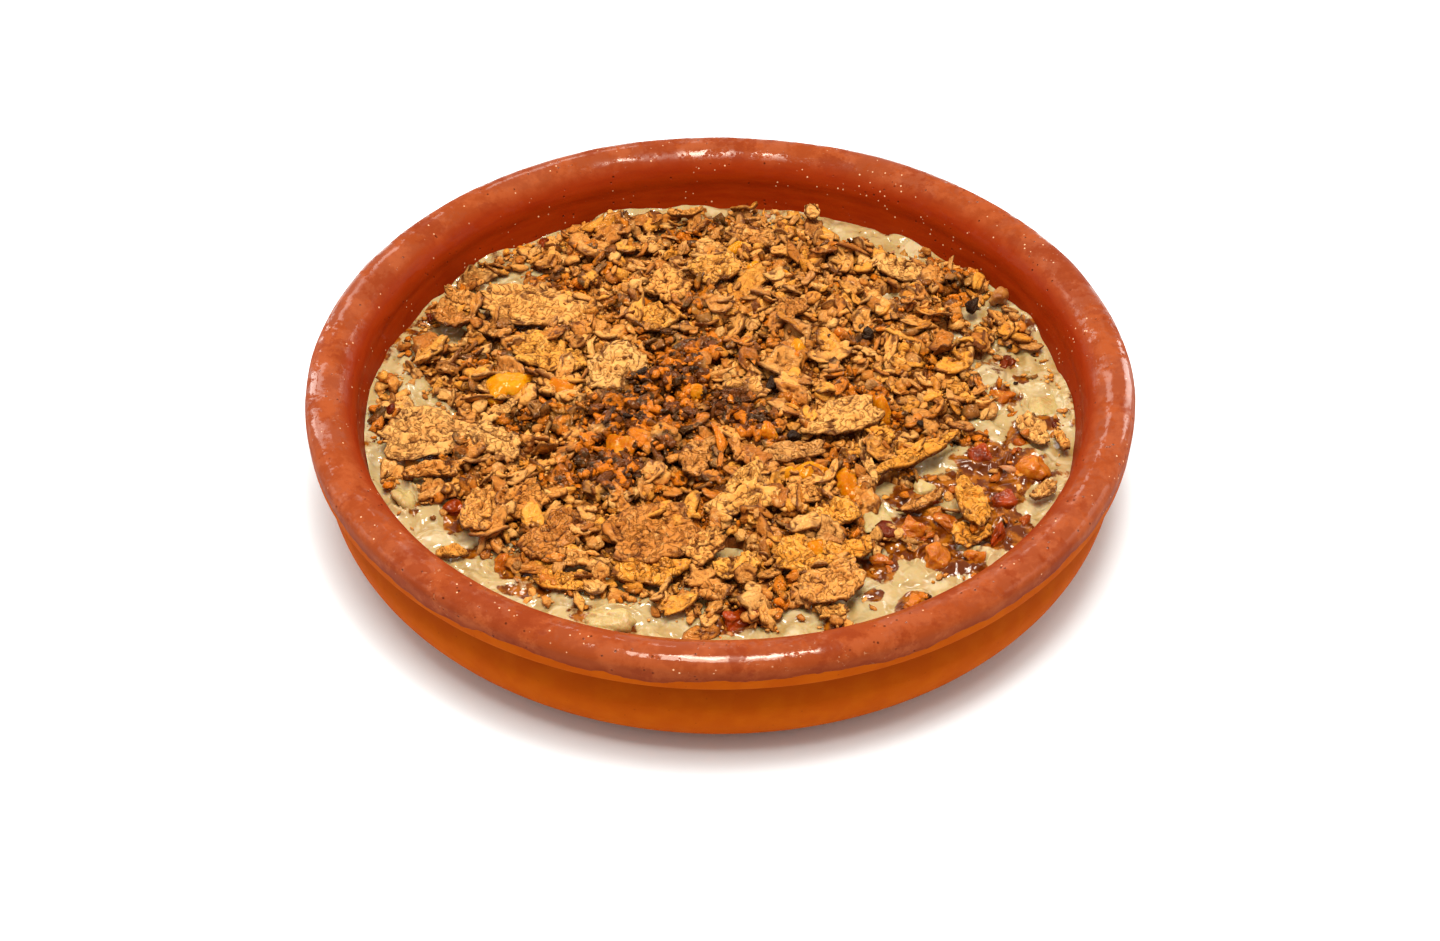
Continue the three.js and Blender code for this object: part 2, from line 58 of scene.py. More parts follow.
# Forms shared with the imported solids.
RIM_RADIUS = 80.0
DISH_HEIGHT = 29.0
LIP_CROWN_RADIUS = 76.5
LIP_WIDEST_Z = 26.4
LIP_UNDERSIDE_Z = 21.8
LIP_INNER_RADIUS = 70.2
LIP_INNER_Z = 22.0
BODY_RADIUS = 77.3
FOOT_ARC = 14.0
FLOOR_Z = 6.0
FLOOR_ARC = 7.0
WALL_FOOT_RADIUS = 68.2
CREAM_LEVEL = 17.2
HEAP_CENTRE = (0.0, 3.0)
HEAP_REACH = [54, 61, 63, 63, 62, 63, 64, 64, 64, 63, 57, 57, 57, 60, 47, 47]
HEAP_EDGE_Z = 18.6
HEAP_TOP_Z = 21.2
HEAP_LIMIT_Z = 24.6
CREAM_RADIUS = 69.3
# The bed of crumbs: how far its foot goes down into the cream, how far it lies below the core's
# top, and how far it dips under the cream in the bare patches.
SKIRT = 1.5
BED_DROP = 1.9
BED_DIP = 1.2
# The height map stands this high past the cream, so that nothing settles on the wall.
WALL_STOP_Z = 26.0

# Tints of what wet food mirrors: dark bread and honey, pale fruit, black skins.
WARM_GLOSS = (1.0, 0.72, 0.45, 1.0)
PALE_GLOSS = (1.0, 0.9, 0.78, 1.0)
DIM_GLOSS = (0.5, 0.34, 0.2, 1.0)

# The camera: its height over the table in degrees, its distance and its target in metres.
CAMERA_RISE = 41.32
CAMERA_DISTANCE = 0.6
CAMERA_TARGET = (0.0, -0.01344, 0.015)


# ---- Noise on whole arrays -----------------------------------------------------------------
def hashed(x, y, z, seed):
    """A repeatable random number from 0 to 1 for each whole-number cell (x, y, z)."""
    h = (x * 374761393 + y * 668265263 + z * 1440662683 + seed * 974634777) & 0xFFFFFFFF
    h = ((h ^ (h >> 13)) * 1274126177) & 0xFFFFFFFF
    h = ((h ^ (h >> 15)) * 1103515245) & 0xFFFFFFFF
    return (h ^ (h >> 16)) / 4294967295.0


def value_noise(points, seed):
    """Random numbers on the whole-number lattice, eased between the 8 corners round each point.
    Runs from -1 to 1."""
    cell = np.floor(points).astype(np.int64)
    part = points - cell
    part = part * part * (3 - 2 * part)
    total = np.zeros(points.shape[:-1])
    for corner in range(8):
        step = np.array([corner & 1, corner >> 1 & 1, corner >> 2 & 1])
        at = cell + step
        weight = np.prod(np.where(step, part, 1 - part), axis=-1)
        total += weight * hashed(at[..., 0], at[..., 1], at[..., 2], seed)
    return 2 * total - 1


def fractal(points, size, seed, octaves=3, gain=0.5):
    """A sum of value noises, each half the size and gain times the height of the one before."""
    total = np.zeros(points.shape[:-1])
    for octave in range(octaves):
        total += gain**octave * value_noise(points * (2**octave / size), seed + 17 * octave)
    return total


def cells(points, size, seed):
    """Distance to the nearest and the second nearest of the seed points that are strewn one to a
    cell of the given size, in cells."""
    scaled = points / size
    cell = np.floor(scaled).astype(np.int64)
    near = np.full(points.shape[:-1], 9.0)
    second = np.full(points.shape[:-1], 9.0)
    for step in np.ndindex(3, 3, 3):
        at = cell + np.array(step) - 1
        seeds = [hashed(at[..., 0], at[..., 1], at[..., 2], seed + k) for k in (0, 7, 13)]
        gap = np.linalg.norm(at + np.stack(seeds, -1) - scaled, axis=-1)
        second = np.minimum(second, np.maximum(near, gap))
        near = np.minimum(near, gap)
    return near, second


def billow(points, size, seed):
    """Rounded lumps parted by creases where a noise crosses zero, at two sizes. Returns their
    height from 0 to about 1 and how much of a crease each point is."""
    wide = np.abs(value_noise(points / size, seed))
    fine = np.abs(value_noise(points / (0.45 * size) + 3.1, seed + 1))
    crease = 0.7 * smoothstep(0.13, 0.0, wide) + 0.45 * smoothstep(0.12, 0.0, fine)
    return 1.0 * wide**0.8 + 0.55 * fine**0.85, np.clip(crease, 0, 1)


def smoothstep(low, high, value):
    """0 at low, 1 at high and eased between by 3 t squared - 2 t cubed, with t from 0 to 1."""
    t = np.clip((value - low) / (high - low), 0, 1)
    return t * t * (3 - 2 * t)


def unit(rows):
    """Vectors over their lengths."""
    return rows / np.linalg.norm(rows, axis=-1, keepdims=True)


def in_plane(x, y, z=0.0):
    """Points from their coordinates, each a number or an array."""
    return np.stack(np.broadcast_arrays(x, y, z), -1).astype(float)


def oval(x, y, px, py, long, wide, turn):
    """How far points lie along and across an oval at (px, py), turned by turn radians: its edge
    is where the two, squared and added, make 1."""
    dx, dy = x - px, y - py
    c, s = math.cos(turn), math.sin(turn)
    return (c * dx + s * dy) / (long / 2), (c * dy - s * dx) / (wide / 2)


def columns_of(table, first):
    """The columns of a table from a given one on, as arrays."""
    return [np.array(column, float) for column in zip(*[row[first:] for row in table])]


# ---- Meshes --------------------------------------------------------------------------------
def shell_faces(rings, columns):
    """Faces of a closed shell: rings of columns, joined in quads, with a point at each end.
    Vertices are numbered ring by ring, then the first and the last point."""
    ring, column = np.meshgrid(np.arange(rings - 1), np.arange(columns), indexing="ij")
    here = ring * columns + column
    beside = ring * columns + (column + 1) % columns
    quads = np.stack([here, beside, beside + columns, here + columns], -1).reshape(-1, 4)
    first = np.arange(columns)
    after = (first + 1) % columns
    last = (rings - 1) * columns
    start = np.stack([np.full(columns, rings * columns), after, first], -1)
    end = np.stack([np.full(columns, rings * columns + 1), last + first, last + after], -1)
    return quads, np.concatenate([start, end])


def shell_points(rings, first, last):
    """Vertices of shells in the order that shell_faces numbers them: (..., rings, columns, 3) and
    the two end points (..., 3) to (..., count, 3)."""
    flat = rings.reshape(*rings.shape[:-3], -1, 3)
    return np.concatenate([flat, first[..., None, :], last[..., None, :]], axis=-2)


def add_piece(name, points, faces, finish, replaced=(), values=None):
    """Makes one mesh object out of one or many equal shells, with its place in its vertices.
    points is (shells, vertices, 3), in millimetres; faces is a list of arrays, one for each number
    of corners; values maps a name to one number for each vertex."""
    shells, per_shell = points.shape[:2]
    offsets = np.arange(shells)[:, None, None] * per_shell
    groups = [(face[None] + offsets).reshape(-1, face.shape[1]) for face in faces]
    corners = np.concatenate([group.ravel() for group in groups]).astype(np.int32)
    sizes = np.concatenate([np.full(len(group), group.shape[1]) for group in groups])
    mesh = bpy.data.meshes.new(name)
    mesh.vertices.add(shells * per_shell)
    mesh.vertices.foreach_set("co", (points * MM).astype(np.float32).ravel())
    mesh.loops.add(len(corners))
    mesh.loops.foreach_set("vertex_index", corners)
    mesh.polygons.add(len(sizes))
    starts = np.concatenate([[0], np.cumsum(sizes)[:-1]]).astype(np.int32)
    mesh.polygons.foreach_set("loop_start", starts)
    mesh.polygons.foreach_set("use_smooth", np.ones(len(sizes), bool))
    mesh.update(calc_edges=True)
    for key, value in (values or {}).items():
        spread = np.broadcast_to(value, (shells, per_shell)).astype(np.float32)
        mesh.attributes.new(key, "FLOAT", "POINT").data.foreach_set("value", spread.ravel())
    mesh.materials.append(finish)
    piece = bpy.data.objects.new(name, mesh)
    bpy.context.scene.collection.objects.link(piece)
    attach(piece, "root")
    if replaced:
        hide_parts(*replaced)
    return piece


def turned(points, turn, pitch, roll):
    """Shells turned about X by roll, then about Y by -pitch, then about Z by turn, in radians."""
    ct, st = np.cos(turn), np.sin(turn)
    cp, sp = np.cos(pitch), np.sin(pitch)
    cr, sr = np.cos(roll), np.sin(roll)
    rows = [
        [ct * cp, -ct * sp * sr - st * cr, -ct * sp * cr + st * sr],
        [st * cp, -st * sp * sr + ct * cr, -st * sp * cr - ct * sr],
        [sp, cp * sr, cp * cr],
    ]
    matrix = np.moveaxis(np.array([np.broadcast_arrays(*row) for row in rows]), -1, 0)
    return np.einsum("nij,nvj->nvi", matrix, points)


# ---- Shader maths --------------------------------------------------------------------------
class Finish:
    """One material, its node tree and the nodes that are added to it."""

    def __init__(self, name):
        self.material = bpy.data.materials.new(name)
        self.material.use_nodes = True
        self.tree = self.material.node_tree
        self.tree.nodes.clear()

    def feed(self, made, at, value):
        """Sets a node's socket by value, or by link."""
        if isinstance(value, Value):
            self.tree.links.new(value.socket, made.inputs[at])
        else:
            made.inputs[at].default_value = value

    def node(self, kind, settings=None, **sockets):
        """Adds a node, sets its settings first and then its sockets. A socket is named with
        underscores for spaces, or by its number after an underscore."""
        made = self.tree.nodes.new(kind)
        for key, value in (settings or {}).items():
            if key == "stops":
                self.set_stops(made.color_ramp, value)
            else:
                setattr(made, key, value)
        for key, value in sockets.items():
            self.feed(made, int(key[1:]) if key[1:].isdigit() else key.replace("_", " "), value)
        return made

    def set_stops(self, ramp, stops):
        """Sets a colour ramp's places and colours."""
        while len(ramp.elements) < len(stops):
            ramp.elements.new(1.0)
        for element, (place, tone) in zip(ramp.elements, stops):
            element.position = place
            element.color = (*tone, 1.0)

    def value(self, node, output=0):
        """One output of a node, ready for maths."""
        return Value(self, node.outputs[output])

    def place(self):
        """Object coordinates, in metres."""
        return self.value(self.node("ShaderNodeTexCoord"), "Object")

    def attribute(self, name):
        """The number that the mesh holds for each vertex under a name."""
        settings = {"attribute_name": name, "attribute_type": "GEOMETRY"}
        return self.value(self.node("ShaderNodeAttribute", settings), "Fac")

    def squeezed(self, x, y, z):
        """Object coordinates with each axis scaled, so that noise on them is drawn out."""
        return self.value(self.node("ShaderNodeMapping", Vector=self.place(), Scale=(x, y, z)))

    def noise(self, size, detail=3.0, roughness=0.5, distortion=0.0, at=None):
        """Fractal noise from 0 to 1 whose lumps are about size millimetres across."""
        made = self.node(
            "ShaderNodeTexNoise",
            Vector=at or self.place(),
            Scale=1000.0 / size,
            Detail=detail,
            Roughness=roughness,
            Distortion=distortion,
        )
        return self.value(made)

    def cells(self, size):
        """Distance to the nearest of points strewn at random about size millimetres apart."""
        made = self.node("ShaderNodeTexVoronoi", Vector=self.place(), Scale=1000.0 / size)
        return self.value(made)

    def blend(self, share, first, second):
        """Mixes two colours by a share from 0 to 1."""
        made = self.node("ShaderNodeMix", {"data_type": "RGBA", "clamp_factor": True}, _0=share)
        for at, tone in ((6, first), (7, second)):
            self.feed(made, at, tone if isinstance(tone, Value) else (*tone, 1.0))
        return self.value(made, 2)

    def over(self, tone, *layers):
        """Lays colours over a tone one after another, each by its own share from 0 to 1."""
        for share, laid in layers:
            tone = self.blend(share, tone, laid)
        return tone

    def bump(self, height, depth):
        """A normal from a height of 0 to 1 that stands for depth in millimetres."""
        made = self.node("ShaderNodeBump", Height=height, Distance=depth * MM, Strength=1.0)
        return self.value(made)

    def shader(self, **sockets):
        """A Principled shader with the given sockets."""
        return self.value(self.node("ShaderNodeBsdfPrincipled", **sockets))

    def layered(self, share, below, above):
        """Mixes two shaders by a share from 0 to 1."""
        return self.value(self.node("ShaderNodeMixShader", _0=share, _1=below, _2=above))

    def surface(self, shader=None, **sockets):
        """Ends the tree in the given shader, or in a Principled one with the given sockets."""
        self.node("ShaderNodeOutputMaterial", Surface=shader or self.shader(**sockets))
        return self.material


def math_method(operation, swapped=False):
    """A method that adds one Math node for a value and, where it takes two, another value or
    number, which goes first if swapped."""

    def method(self, other=None):
        pair = [self] if other is None else [other, self] if swapped else [self, other]
        inputs = {f"_{at}": value for at, value in enumerate(pair)}
        made = self.finish.node("ShaderNodeMath", {"operation": operation}, **inputs)
        return self.finish.value(made)

    return method


class Value:
    """A socket that adds Math nodes when it is used in an expression."""

    def __init__(self, finish, socket):
        self.finish = finish
        self.socket = socket

    __add__ = math_method("ADD")
    __radd__ = math_method("ADD", swapped=True)
    __sub__ = math_method("SUBTRACT")
    __rsub__ = math_method("SUBTRACT", swapped=True)
    __mul__ = math_method("MULTIPLY")
    __rmul__ = math_method("MULTIPLY", swapped=True)
    least = math_method("MINIMUM")
    most = math_method("MAXIMUM")
    size = math_method("ABSOLUTE")
    fraction = math_method("FRACT")

    def step(self, low, high):
        """0 below low, 1 above high and eased between, or the other way round if low is higher."""
        settings = {"interpolation_type": "SMOOTHSTEP", "clamp": True}
        ends = {"From_Min": min(low, high), "From_Max": max(low, high)}
        made = self.finish.node("ShaderNodeMapRange", settings, Value=self, **ends)
        eased = self.finish.value(made)
        return 1 - eased if low > high else eased


# ---- Settings ------------------------------------------------------------------------------
def colour(name, description, default):
    """A colour property of three linear values."""
    return bpy.props.FloatVectorProperty(
        name=name,
        description=description,
        default=default,
        subtype="COLOR",
        size=3,
        min=0.0,
        max=1.0,
    )


def length(name, description, default):
    """A length property whose default is given in millimetres."""
    return bpy.props.FloatProperty(
        name=name, description=description, default=default * MM, unit="LENGTH"
    )


def number(name, description, default):
    """A count, 0 or more."""
    return bpy.props.IntProperty(name=name, description=description, default=default, min=0)


def strength(name, description, default):
    """A brightness or a power, 0 or more."""
    return bpy.props.FloatProperty(name=name, description=description, default=default, min=0.0)


class DishSettings(bpy.types.PropertyGroup):
    glaze: colour("Glaze", "Colour of the glaze over the lip", (0.285, 0.047, 0.009))
    deep_glaze: colour("Deep glaze", "Colour of the glaze on the inner wall", (0.29, 0.025, 0.001))
    pale_glaze: colour("Pale glaze", "Colour where the glaze lies thin", (0.4, 0.084, 0.022))
    clay: colour("Clay", "Colour of the bare clay", (0.41, 0.064, 0.0003))
    wobble: length("Wobble", "How far the turned form strays from round", 0.22)


class CreamSettings(bpy.types.PropertyGroup):
    cream: colour("Cream", "Colour of the banana cream", (0.53, 0.365, 0.15))
    # Used for random darker patches and for the painted shade in the cream's hollows.
    shade: colour("Shade", "Colour of the thinner, wetter cream", (0.42, 0.235, 0.06))
    lump: length("Lumps", "Height of the lumps in the cream", 0.7)


class BreadSettings(bpy.types.PropertyGroup):
    toast: colour("Toast", "Colour of the toasted bread", (0.67, 0.235, 0.033))
    pale: colour("Pale toast", "Colour of the lightest bread", (0.82, 0.34, 0.066))
    beige: colour("Beige toast", "Colour of the palest, driest bread", (0.82, 0.41, 0.108))
    golden: colour("Golden toast", "Colour of the bread that is wet with butter", (0.8, 0.3, 0.022))
    # A painted highlight on the raised grain.
    grain_highlight: colour("Raised grain", "Colour where the crumb stands proud", (0.86, 0.5, 0.16))
    crust: colour("Crust", "Colour of the browned bread", (0.32, 0.072, 0.005))
    # Colour of the painted shade in creases, gaps and undersides, and of the bread's own holes.
    pit: colour("Pits", "Colour in the pits and cracks", (0.09, 0.013, 0.001))
    soaked: colour("Soaked", "Colour of bread soaked in dark honey", (0.1, 0.015, 0.001))
    medium_flakes: number("Medium flakes", "Number of flakes of 4 to 9 mm", 195)
    shards: number("Shards", "Number of flakes of 2 to 5 mm", 900)
    lumps: number("Lumps", "Number of lumps of 2 to 5 mm", 1500)
    sticks: number("Sticks", "Number of curved sticks", 130)
    crumbs: number("Crumbs", "Number of crumbs of 1.2 to 2.6 mm", 2400)
    soaked_crumbs: number("Honey crumbs", "Number of crumbs soaked in dark honey", 330)
    dust: number("Fine crumbs", "Number of crumbs under 1.4 mm", 3500)


class FruitSettings(bpy.types.PropertyGroup):
    date: colour("Date", "Colour of the date pieces", (0.4, 0.045, 0.001))
    apricot: colour("Apricot", "Colour of the dried apricot", (0.56, 0.15, 0.006))
    banana: colour("Banana", "Colour of the banana pieces", (0.58, 0.41, 0.15))
    honey: colour("Honey", "Colour of the honey", (0.7, 0.24, 0.001))


class LightSettings(bpy.types.PropertyGroup):
    sky: strength("Surround", "Brightness of the white surround", 0.46)
    window: strength("Back light", "Power of the soft back light, in watts", 1.9)
    side: strength("Side lights", "Power of each light beside the back, in watts", 3.3)
    overhead: strength("Overhead light", "Power of the soft light overhead, in watts", 9.4)
    fill: strength("Fill lights", "Power of each low light beside the dish, in watts", 1.9)
    lamp: strength("Lamp", "Power of the small lamp that makes glints, in watts", 5.2)


# ---- Dish ----------------------------------------------------------------------------------
def arc(centre_r, centre_z, radius_r, radius_z, start, end, steps):
    """Points of an ellipse from one angle to another, in degrees: centre + radii x (cos, sin)."""
    a = np.radians(np.linspace(start, end, steps))
    return np.stack([centre_r + radius_r * np.cos(a), centre_z + radius_z * np.sin(a)], -1)


def line(start, end, steps):
    """Evenly spaced points between two ends, without the ends."""
    return np.linspace(start, end, steps + 2)[1:-1]


def dish_profile():
    """Half section (radius, height) from the middle of the base round to the middle of the floor.
    Also the distance along it, counted from the tip of the lip."""
    crown = LIP_CROWN_RADIUS
    parts = [
        line((0.0, 0.0), (BODY_RADIUS - FOOT_ARC, 0.0), 14),
        arc(BODY_RADIUS - FOOT_ARC, FOOT_ARC, FOOT_ARC, FOOT_ARC, -90, 0, 18),
        line((BODY_RADIUS, FOOT_ARC), (BODY_RADIUS - 1.0, LIP_UNDERSIDE_Z - 1.2), 8),
        arc(RIM_RADIUS - 1.1, LIP_UNDERSIDE_Z - 1.0, 2.6, 1.0, 170, 95, 5),
        arc(RIM_RADIUS - 1.0, LIP_UNDERSIDE_Z + 0.7, 0.75, 0.7, -70, 0, 5),
        line((RIM_RADIUS - 0.2, LIP_UNDERSIDE_Z + 1.2), (RIM_RADIUS, LIP_WIDEST_Z - 0.3), 5),
        arc(crown, LIP_WIDEST_Z, RIM_RADIUS - crown, DISH_HEIGHT - LIP_WIDEST_Z, 0, 90, 14),
        arc(crown, LIP_INNER_Z, crown - LIP_INNER_RADIUS, DISH_HEIGHT - LIP_INNER_Z, 94, 180, 20),
        line((LIP_INNER_RADIUS, LIP_INNER_Z), (WALL_FOOT_RADIUS, FLOOR_Z + FLOOR_ARC), 14),
        arc(WALL_FOOT_RADIUS - FLOOR_ARC, FLOOR_Z + FLOOR_ARC, FLOOR_ARC, FLOOR_ARC, 0, -90, 8),
        line((WALL_FOOT_RADIUS - FLOOR_ARC, FLOOR_Z), (0.0, FLOOR_Z), 8),
    ]
    profile = np.concatenate(parts)
    steps = np.linalg.norm(np.diff(profile, axis=0), axis=1)
    along = np.concatenate([[0], np.cumsum(steps)])
    tip = np.argmax(profile[:, 0])
    return profile, along - along[tip]


def dish_surface(settings, columns=560):
    """Turns the profile about Z, lets its radius and height stray by slow noise round the dish,
    and presses shallow dents into the lip."""
    profile, along = dish_profile()
    turn = np.linspace(0, TURN, columns, endpoint=False)
    radius = np.repeat(profile[:, :1], columns, 1)
    height = np.repeat(profile[:, 1:], columns, 1)
    round_trip = in_plane(2.2 * np.cos(turn), 2.2 * np.sin(turn))
    on_lip = smoothstep(17, 27, height) * smoothstep(68, 71, radius)
    stray = settings.wobble / MM
    radius = radius + stray * on_lip * value_noise(round_trip, 3)
    slow = value_noise(round_trip * 1.3, 9)
    height = height + on_lip * stray * (0.8 * slow - 0.5)
    points = in_plane(radius * np.cos(turn), radius * np.sin(turn), height)
    dents = fractal(points, 9, 21, 3, 0.45)
    outward = unit(in_plane(np.cos(turn), np.sin(turn), 0.6))
    points += (0.1 * on_lip * dents)[..., None] * outward
    points[..., 2] = np.where(height < 0.01, height, points[..., 2])
    return points, np.repeat(along[:, None], columns, 1)


def glazed_clay(settings):
    """Red-brown glaze over orange clay. The glaze ends in a ragged line low on the lip's outer
    face, is deeper and streaked inside the dish, and has pale thin patches, dark patches, worn
    spots, pits and white specks. It is glossy in patches and satin between them. The bare clay
    has a painted shadow in a band under the lip."""
    f = Finish("glaze_and_clay")
    along = f.attribute("along")
    ragged = along + (f.noise(18, 3.0, 0.55) - 0.5) * 4.2 + (f.noise(5.5, 4.0, 0.6) - 0.5) * 1.9
    glaze = ragged.step(-2.36, -2.22)
    inside = (along + f.noise(14) * 3).step(8.5, 13.5)
    dark = f.noise(13, 6.0, 0.72).step(0.53, 0.58)
    worn = f.noise(1.4, 4.0, 0.7, 0.4).step(0.62, 0.7) * f.noise(30, 2.0).step(0.52, 0.62)
    lip = f.over(
        settings.glaze,
        (f.noise(6, 5.0, 0.7).step(0.44, 0.62) * 0.6, settings.pale_glaze),
        (dark * 0.45, (0.2, 0.022, 0.004)),
        (worn * 0.5, (0.6, 0.26, 0.12)),
    )
    streaks = f.noise(9, 4.0, 0.6, at=f.squeezed(1.0, 1.0, 7.0)).step(0.35, 0.7)
    deep = f.blend(streaks * 0.55, settings.deep_glaze, (0.22, 0.012, 0.0004))
    pits = f.cells(1.7).step(0.18, 0.05) * f.noise(6).step(0.48, 0.6)
    speckled = (f.noise(10, 3.0, 0.7) + inside * 0.06).step(0.55, 0.6)
    brim = ragged.step(-2.5, -2.3) * ragged.step(-0.4, -2.2)
    coat = f.over(
        f.blend(inside, lip, deep),
        (pits * 0.75, (0.07, 0.008, 0.002)),
        (f.cells(1.5).step(0.14, 0.09) * speckled * 0.9, (0.85, 0.5, 0.27)),
        (brim * 0.5, (0.16, 0.016, 0.001)),
    )
    # Painted shadow: the clay just under the lip's overhang is darkened where the lip shades it.
    lip_shadow = along.step(-4.6, -5.4) * along.step(-19.0, -7.5)
    clay = f.over(
        settings.clay,
        (f.noise(5, 4.0).step(0.35, 0.7) * 0.4, (0.5, 0.1, 0.001)),
        (f.cells(2.6).step(0.1, 0.03) * 0.5, (0.2, 0.035, 0.001)),
        (lip_shadow * 0.5, (0.14, 0.012, 0.0)),
    )
    waves = f.noise(9, 2.0, 0.5) * 0.42 + f.noise(1.5, 3.0, 0.6) * 0.04
    relief = f.bump(waves - pits * 0.2 - worn * 0.05 + glaze * 0.3, 1.0)
    patchy = f.noise(15, 2.0, 0.5) * 0.55 + f.noise(1.8, 4.0, 0.7) * 0.45
    satin = patchy.step(0.5, 0.53).most(dark * 0.8).most(inside * 0.9)
    satin = satin.most(along.step(2.6, 0.8)).most(along.step(7.8, 9.2) * 0.9)
    wet = f.shader(
        Base_Color=coat,
        Roughness=0.09 + f.noise(13, 2.0).step(0.45, 0.6) * 0.16,
        Normal=relief,
        Specular_Tint=(1.0, 0.88, 0.72, 1.0),
    )
    dry = f.shader(Base_Color=coat, Roughness=0.6, Normal=relief, Specular_IOR_Level=0.03)
    grain = f.bump(f.noise(0.5, 3.0, 0.6) * 0.1 + f.noise(7, 2.0), 0.4)
    bare = f.shader(Base_Color=clay, Roughness=0.8, Normal=grain, Specular_IOR_Level=0.03)
    return f.surface(f.layered(glaze, bare, f.layered(satin * 0.97, wet, dry)))


class MASOUB_OT_dish(bpy.types.Operator):
    """Makes the glazed earthenware dish"""

    bl_idname = "masoub.dish"
    bl_label = "Dish"

    def execute(self, context):
        settings = context.scene.masoub_dish
        points, along = dish_surface(settings)
        shell = shell_points(points, np.zeros(3), np.array([0.0, 0.0, FLOOR_Z]))
        values = {"along": np.append(along.ravel(), [along[0, 0], along[-1, 0]])}
        faces = shell_faces(*points.shape[:2])
        finish = glazed_clay(settings)
        add_piece("glazed_dish", shell[None], faces, finish, ["dish"], values)
        return {"FINISHED"}


# ---- Cream ---------------------------------------------------------------------------------
def heap_share(x, y):
    """How far a point lies towards the heap's outline: 0 at its centre, 1 on the outline."""
    dx, dy = x - HEAP_CENTRE[0], y - HEAP_CENTRE[1]
    at = (np.arctan2(dy, dx) / TURN % 1) * len(HEAP_REACH)
    before = np.floor(at).astype(int) % len(HEAP_REACH)
    eased = smoothstep(0, 1, at % 1)
    reach = np.array(HEAP_REACH, float)
    after = reach[(before + 1) % len(HEAP_REACH)]
    return np.hypot(dx, dy) / (reach[before] * (1 - eased) + after * eased)


def wall_radius(z):
    """Radius of the inner wall between the floor's arc and the lip."""
    rise = np.clip((z - FLOOR_Z - FLOOR_ARC) / (LIP_INNER_Z - FLOOR_Z - FLOOR_ARC), 0, 1)
    return WALL_FOOT_RADIUS + rise * (LIP_INNER_RADIUS - WALL_FOOT_RADIUS)


def cream_height(x, y, lump):
    """Level of the cream: soft round lumps of banana, finer curds, a rise at the wall and a
    raised skin round each sunk piece."""
    points = in_plane(x, y)
    warp = in_plane(value_noise(points / 6, 5), value_noise(points / 6, 6)) * 2.4
    near, second = cells(points + warp, 8.5, 41)
    lumps = np.sqrt(np.clip(1 - near**2, 0, 1)) * smoothstep(0, 0.3, second - near)
    fine_near, _ = cells(points + 0.5 * warp, 3.1, 43)
    fine = np.clip(1 - fine_near**2, 0, 1)
    ripples = fractal(points, 5, 47, 2)
    open_cream = np.maximum(smoothstep(0.86, 1.02, heap_share(x, y)), bareness(x, y))
    distance = np.hypot(x, y)
    edge = smoothstep(64.5, 69.4, distance)
    angle = np.arctan2(y, x)
    round_trip = in_plane(np.cos(angle), np.sin(angle))
    ragged = 0.6 + 1.2 * fractal(round_trip * 7, 1, 51, 3)
    height = CREAM_LEVEL - 0.35 + lump * (1.25 * lumps + 0.75 * fine**0.7 + 0.35 * ripples - 0.7)
    open_cream = open_cream * (1 - 0.7 * edge)
    height = CREAM_LEVEL + open_cream * (height - CREAM_LEVEL) + edge**4 * ragged
    skin = sunk_share(x, y, 0.8) - 0.8 * sunk_share(x, y, 0.1)
    return height + 1.1 * skin * (0.7 + 0.6 * ripples)


def sunk_share(x, y, margin):
    """1 over each sunk piece of fruit, falling to 0 at a margin outside it."""
    share = np.zeros(np.shape(x))
    for _, long, wide, _, px, py, _, turn, _ in DATES + APRICOTS + BANANAS:
        out = np.hypot(*oval(x, y, px, py, long, wide, math.radians(turn)))
        share = np.maximum(share, smoothstep(2.4 * margin, 0.0, (out - 1) * (long + wide) / 4))
    return share


# Places where brown syrup has run into the cream: x, y, radius, strength.
SYRUP = [
    (57, -17, 8, 0.9), (48, -22, 8, 1.0), (52, -34, 6, 1.0), (37, -36, 8, 0.95), (44, -42, 6, 0.9),
    (36, -24, 6, 0.8), (50, -12, 6, 0.8), (30, -43, 4, 0.8), (36, -53, 3, 0.9), (28, -51, 2, 0.8),
    (3, -56, 5, 0.8), (-1, -39, 4, 0.35), (-50, -29, 4, 0.8), (-38, -43, 6, 0.9), (-33, -48, 5, 0.6),
    (-26, -55, 3, 0.6), (56, 6, 4, 0.7), (55, 17, 5, 0.5), (-52, 33, 5, 0.7), (-38, 42, 4, 0.6),
    (32, 50, 5, 0.5), (42, 44, 5, 0.5), (18, 60, 5, 0.4), (-66, 10, 3, 0.4), (-64, -3, 4, 0.7),
    (-61, 27, 4, 0.6), (-45, 51, 5, 0.5), (-26, 60, 5, 0.6), (-4, 65, 4, 0.5), (48, 44, 5, 0.6),
    (61, 27, 4, 0.6), (60, 11, 3, 0.7), (64, -2, 3, 0.7), (44, 17, 3, 0.7), (38, 6, 4, 0.8),
    (51, 24, 4, 0.6), (57, -6, 4, 0.8), (33, 27, 3, 0.7), (-46, -39, 3, 0.7), (-58, -27, 3, 0.6),
    (-17, -60, 3, 0.6), (21, -59, 3, 0.8), (-58, 20, 4, 0.6), (-48, 37, 3, 0.7),
]


def spots_share(x, y, spots, seed):
    """The strongest of a list of round spots at each point, with ragged edges."""
    ragged = 1 + 0.5 * fractal(in_plane(x, y), 5, seed, 3)
    share = np.zeros(np.shape(x))
    for sx, sy, radius, strength in spots:
        gap = np.hypot(x - sx, y - sy) / (radius * ragged)
        share = np.maximum(share, strength * smoothstep(1.25, 0.55, gap))
    return share


def syrup_share(x, y):
    """How much syrup lies on the cream: the listed spots, and broken stretches along the wall."""
    broken = smoothstep(-0.1, 0.4, fractal(in_plane(x, y), 9, 57, 2))
    along_wall = smoothstep(66.0, 69.0, np.hypot(x, y)) * broken
    return np.maximum(spots_share(x, y, SYRUP, 55), 0.55 * along_wall)


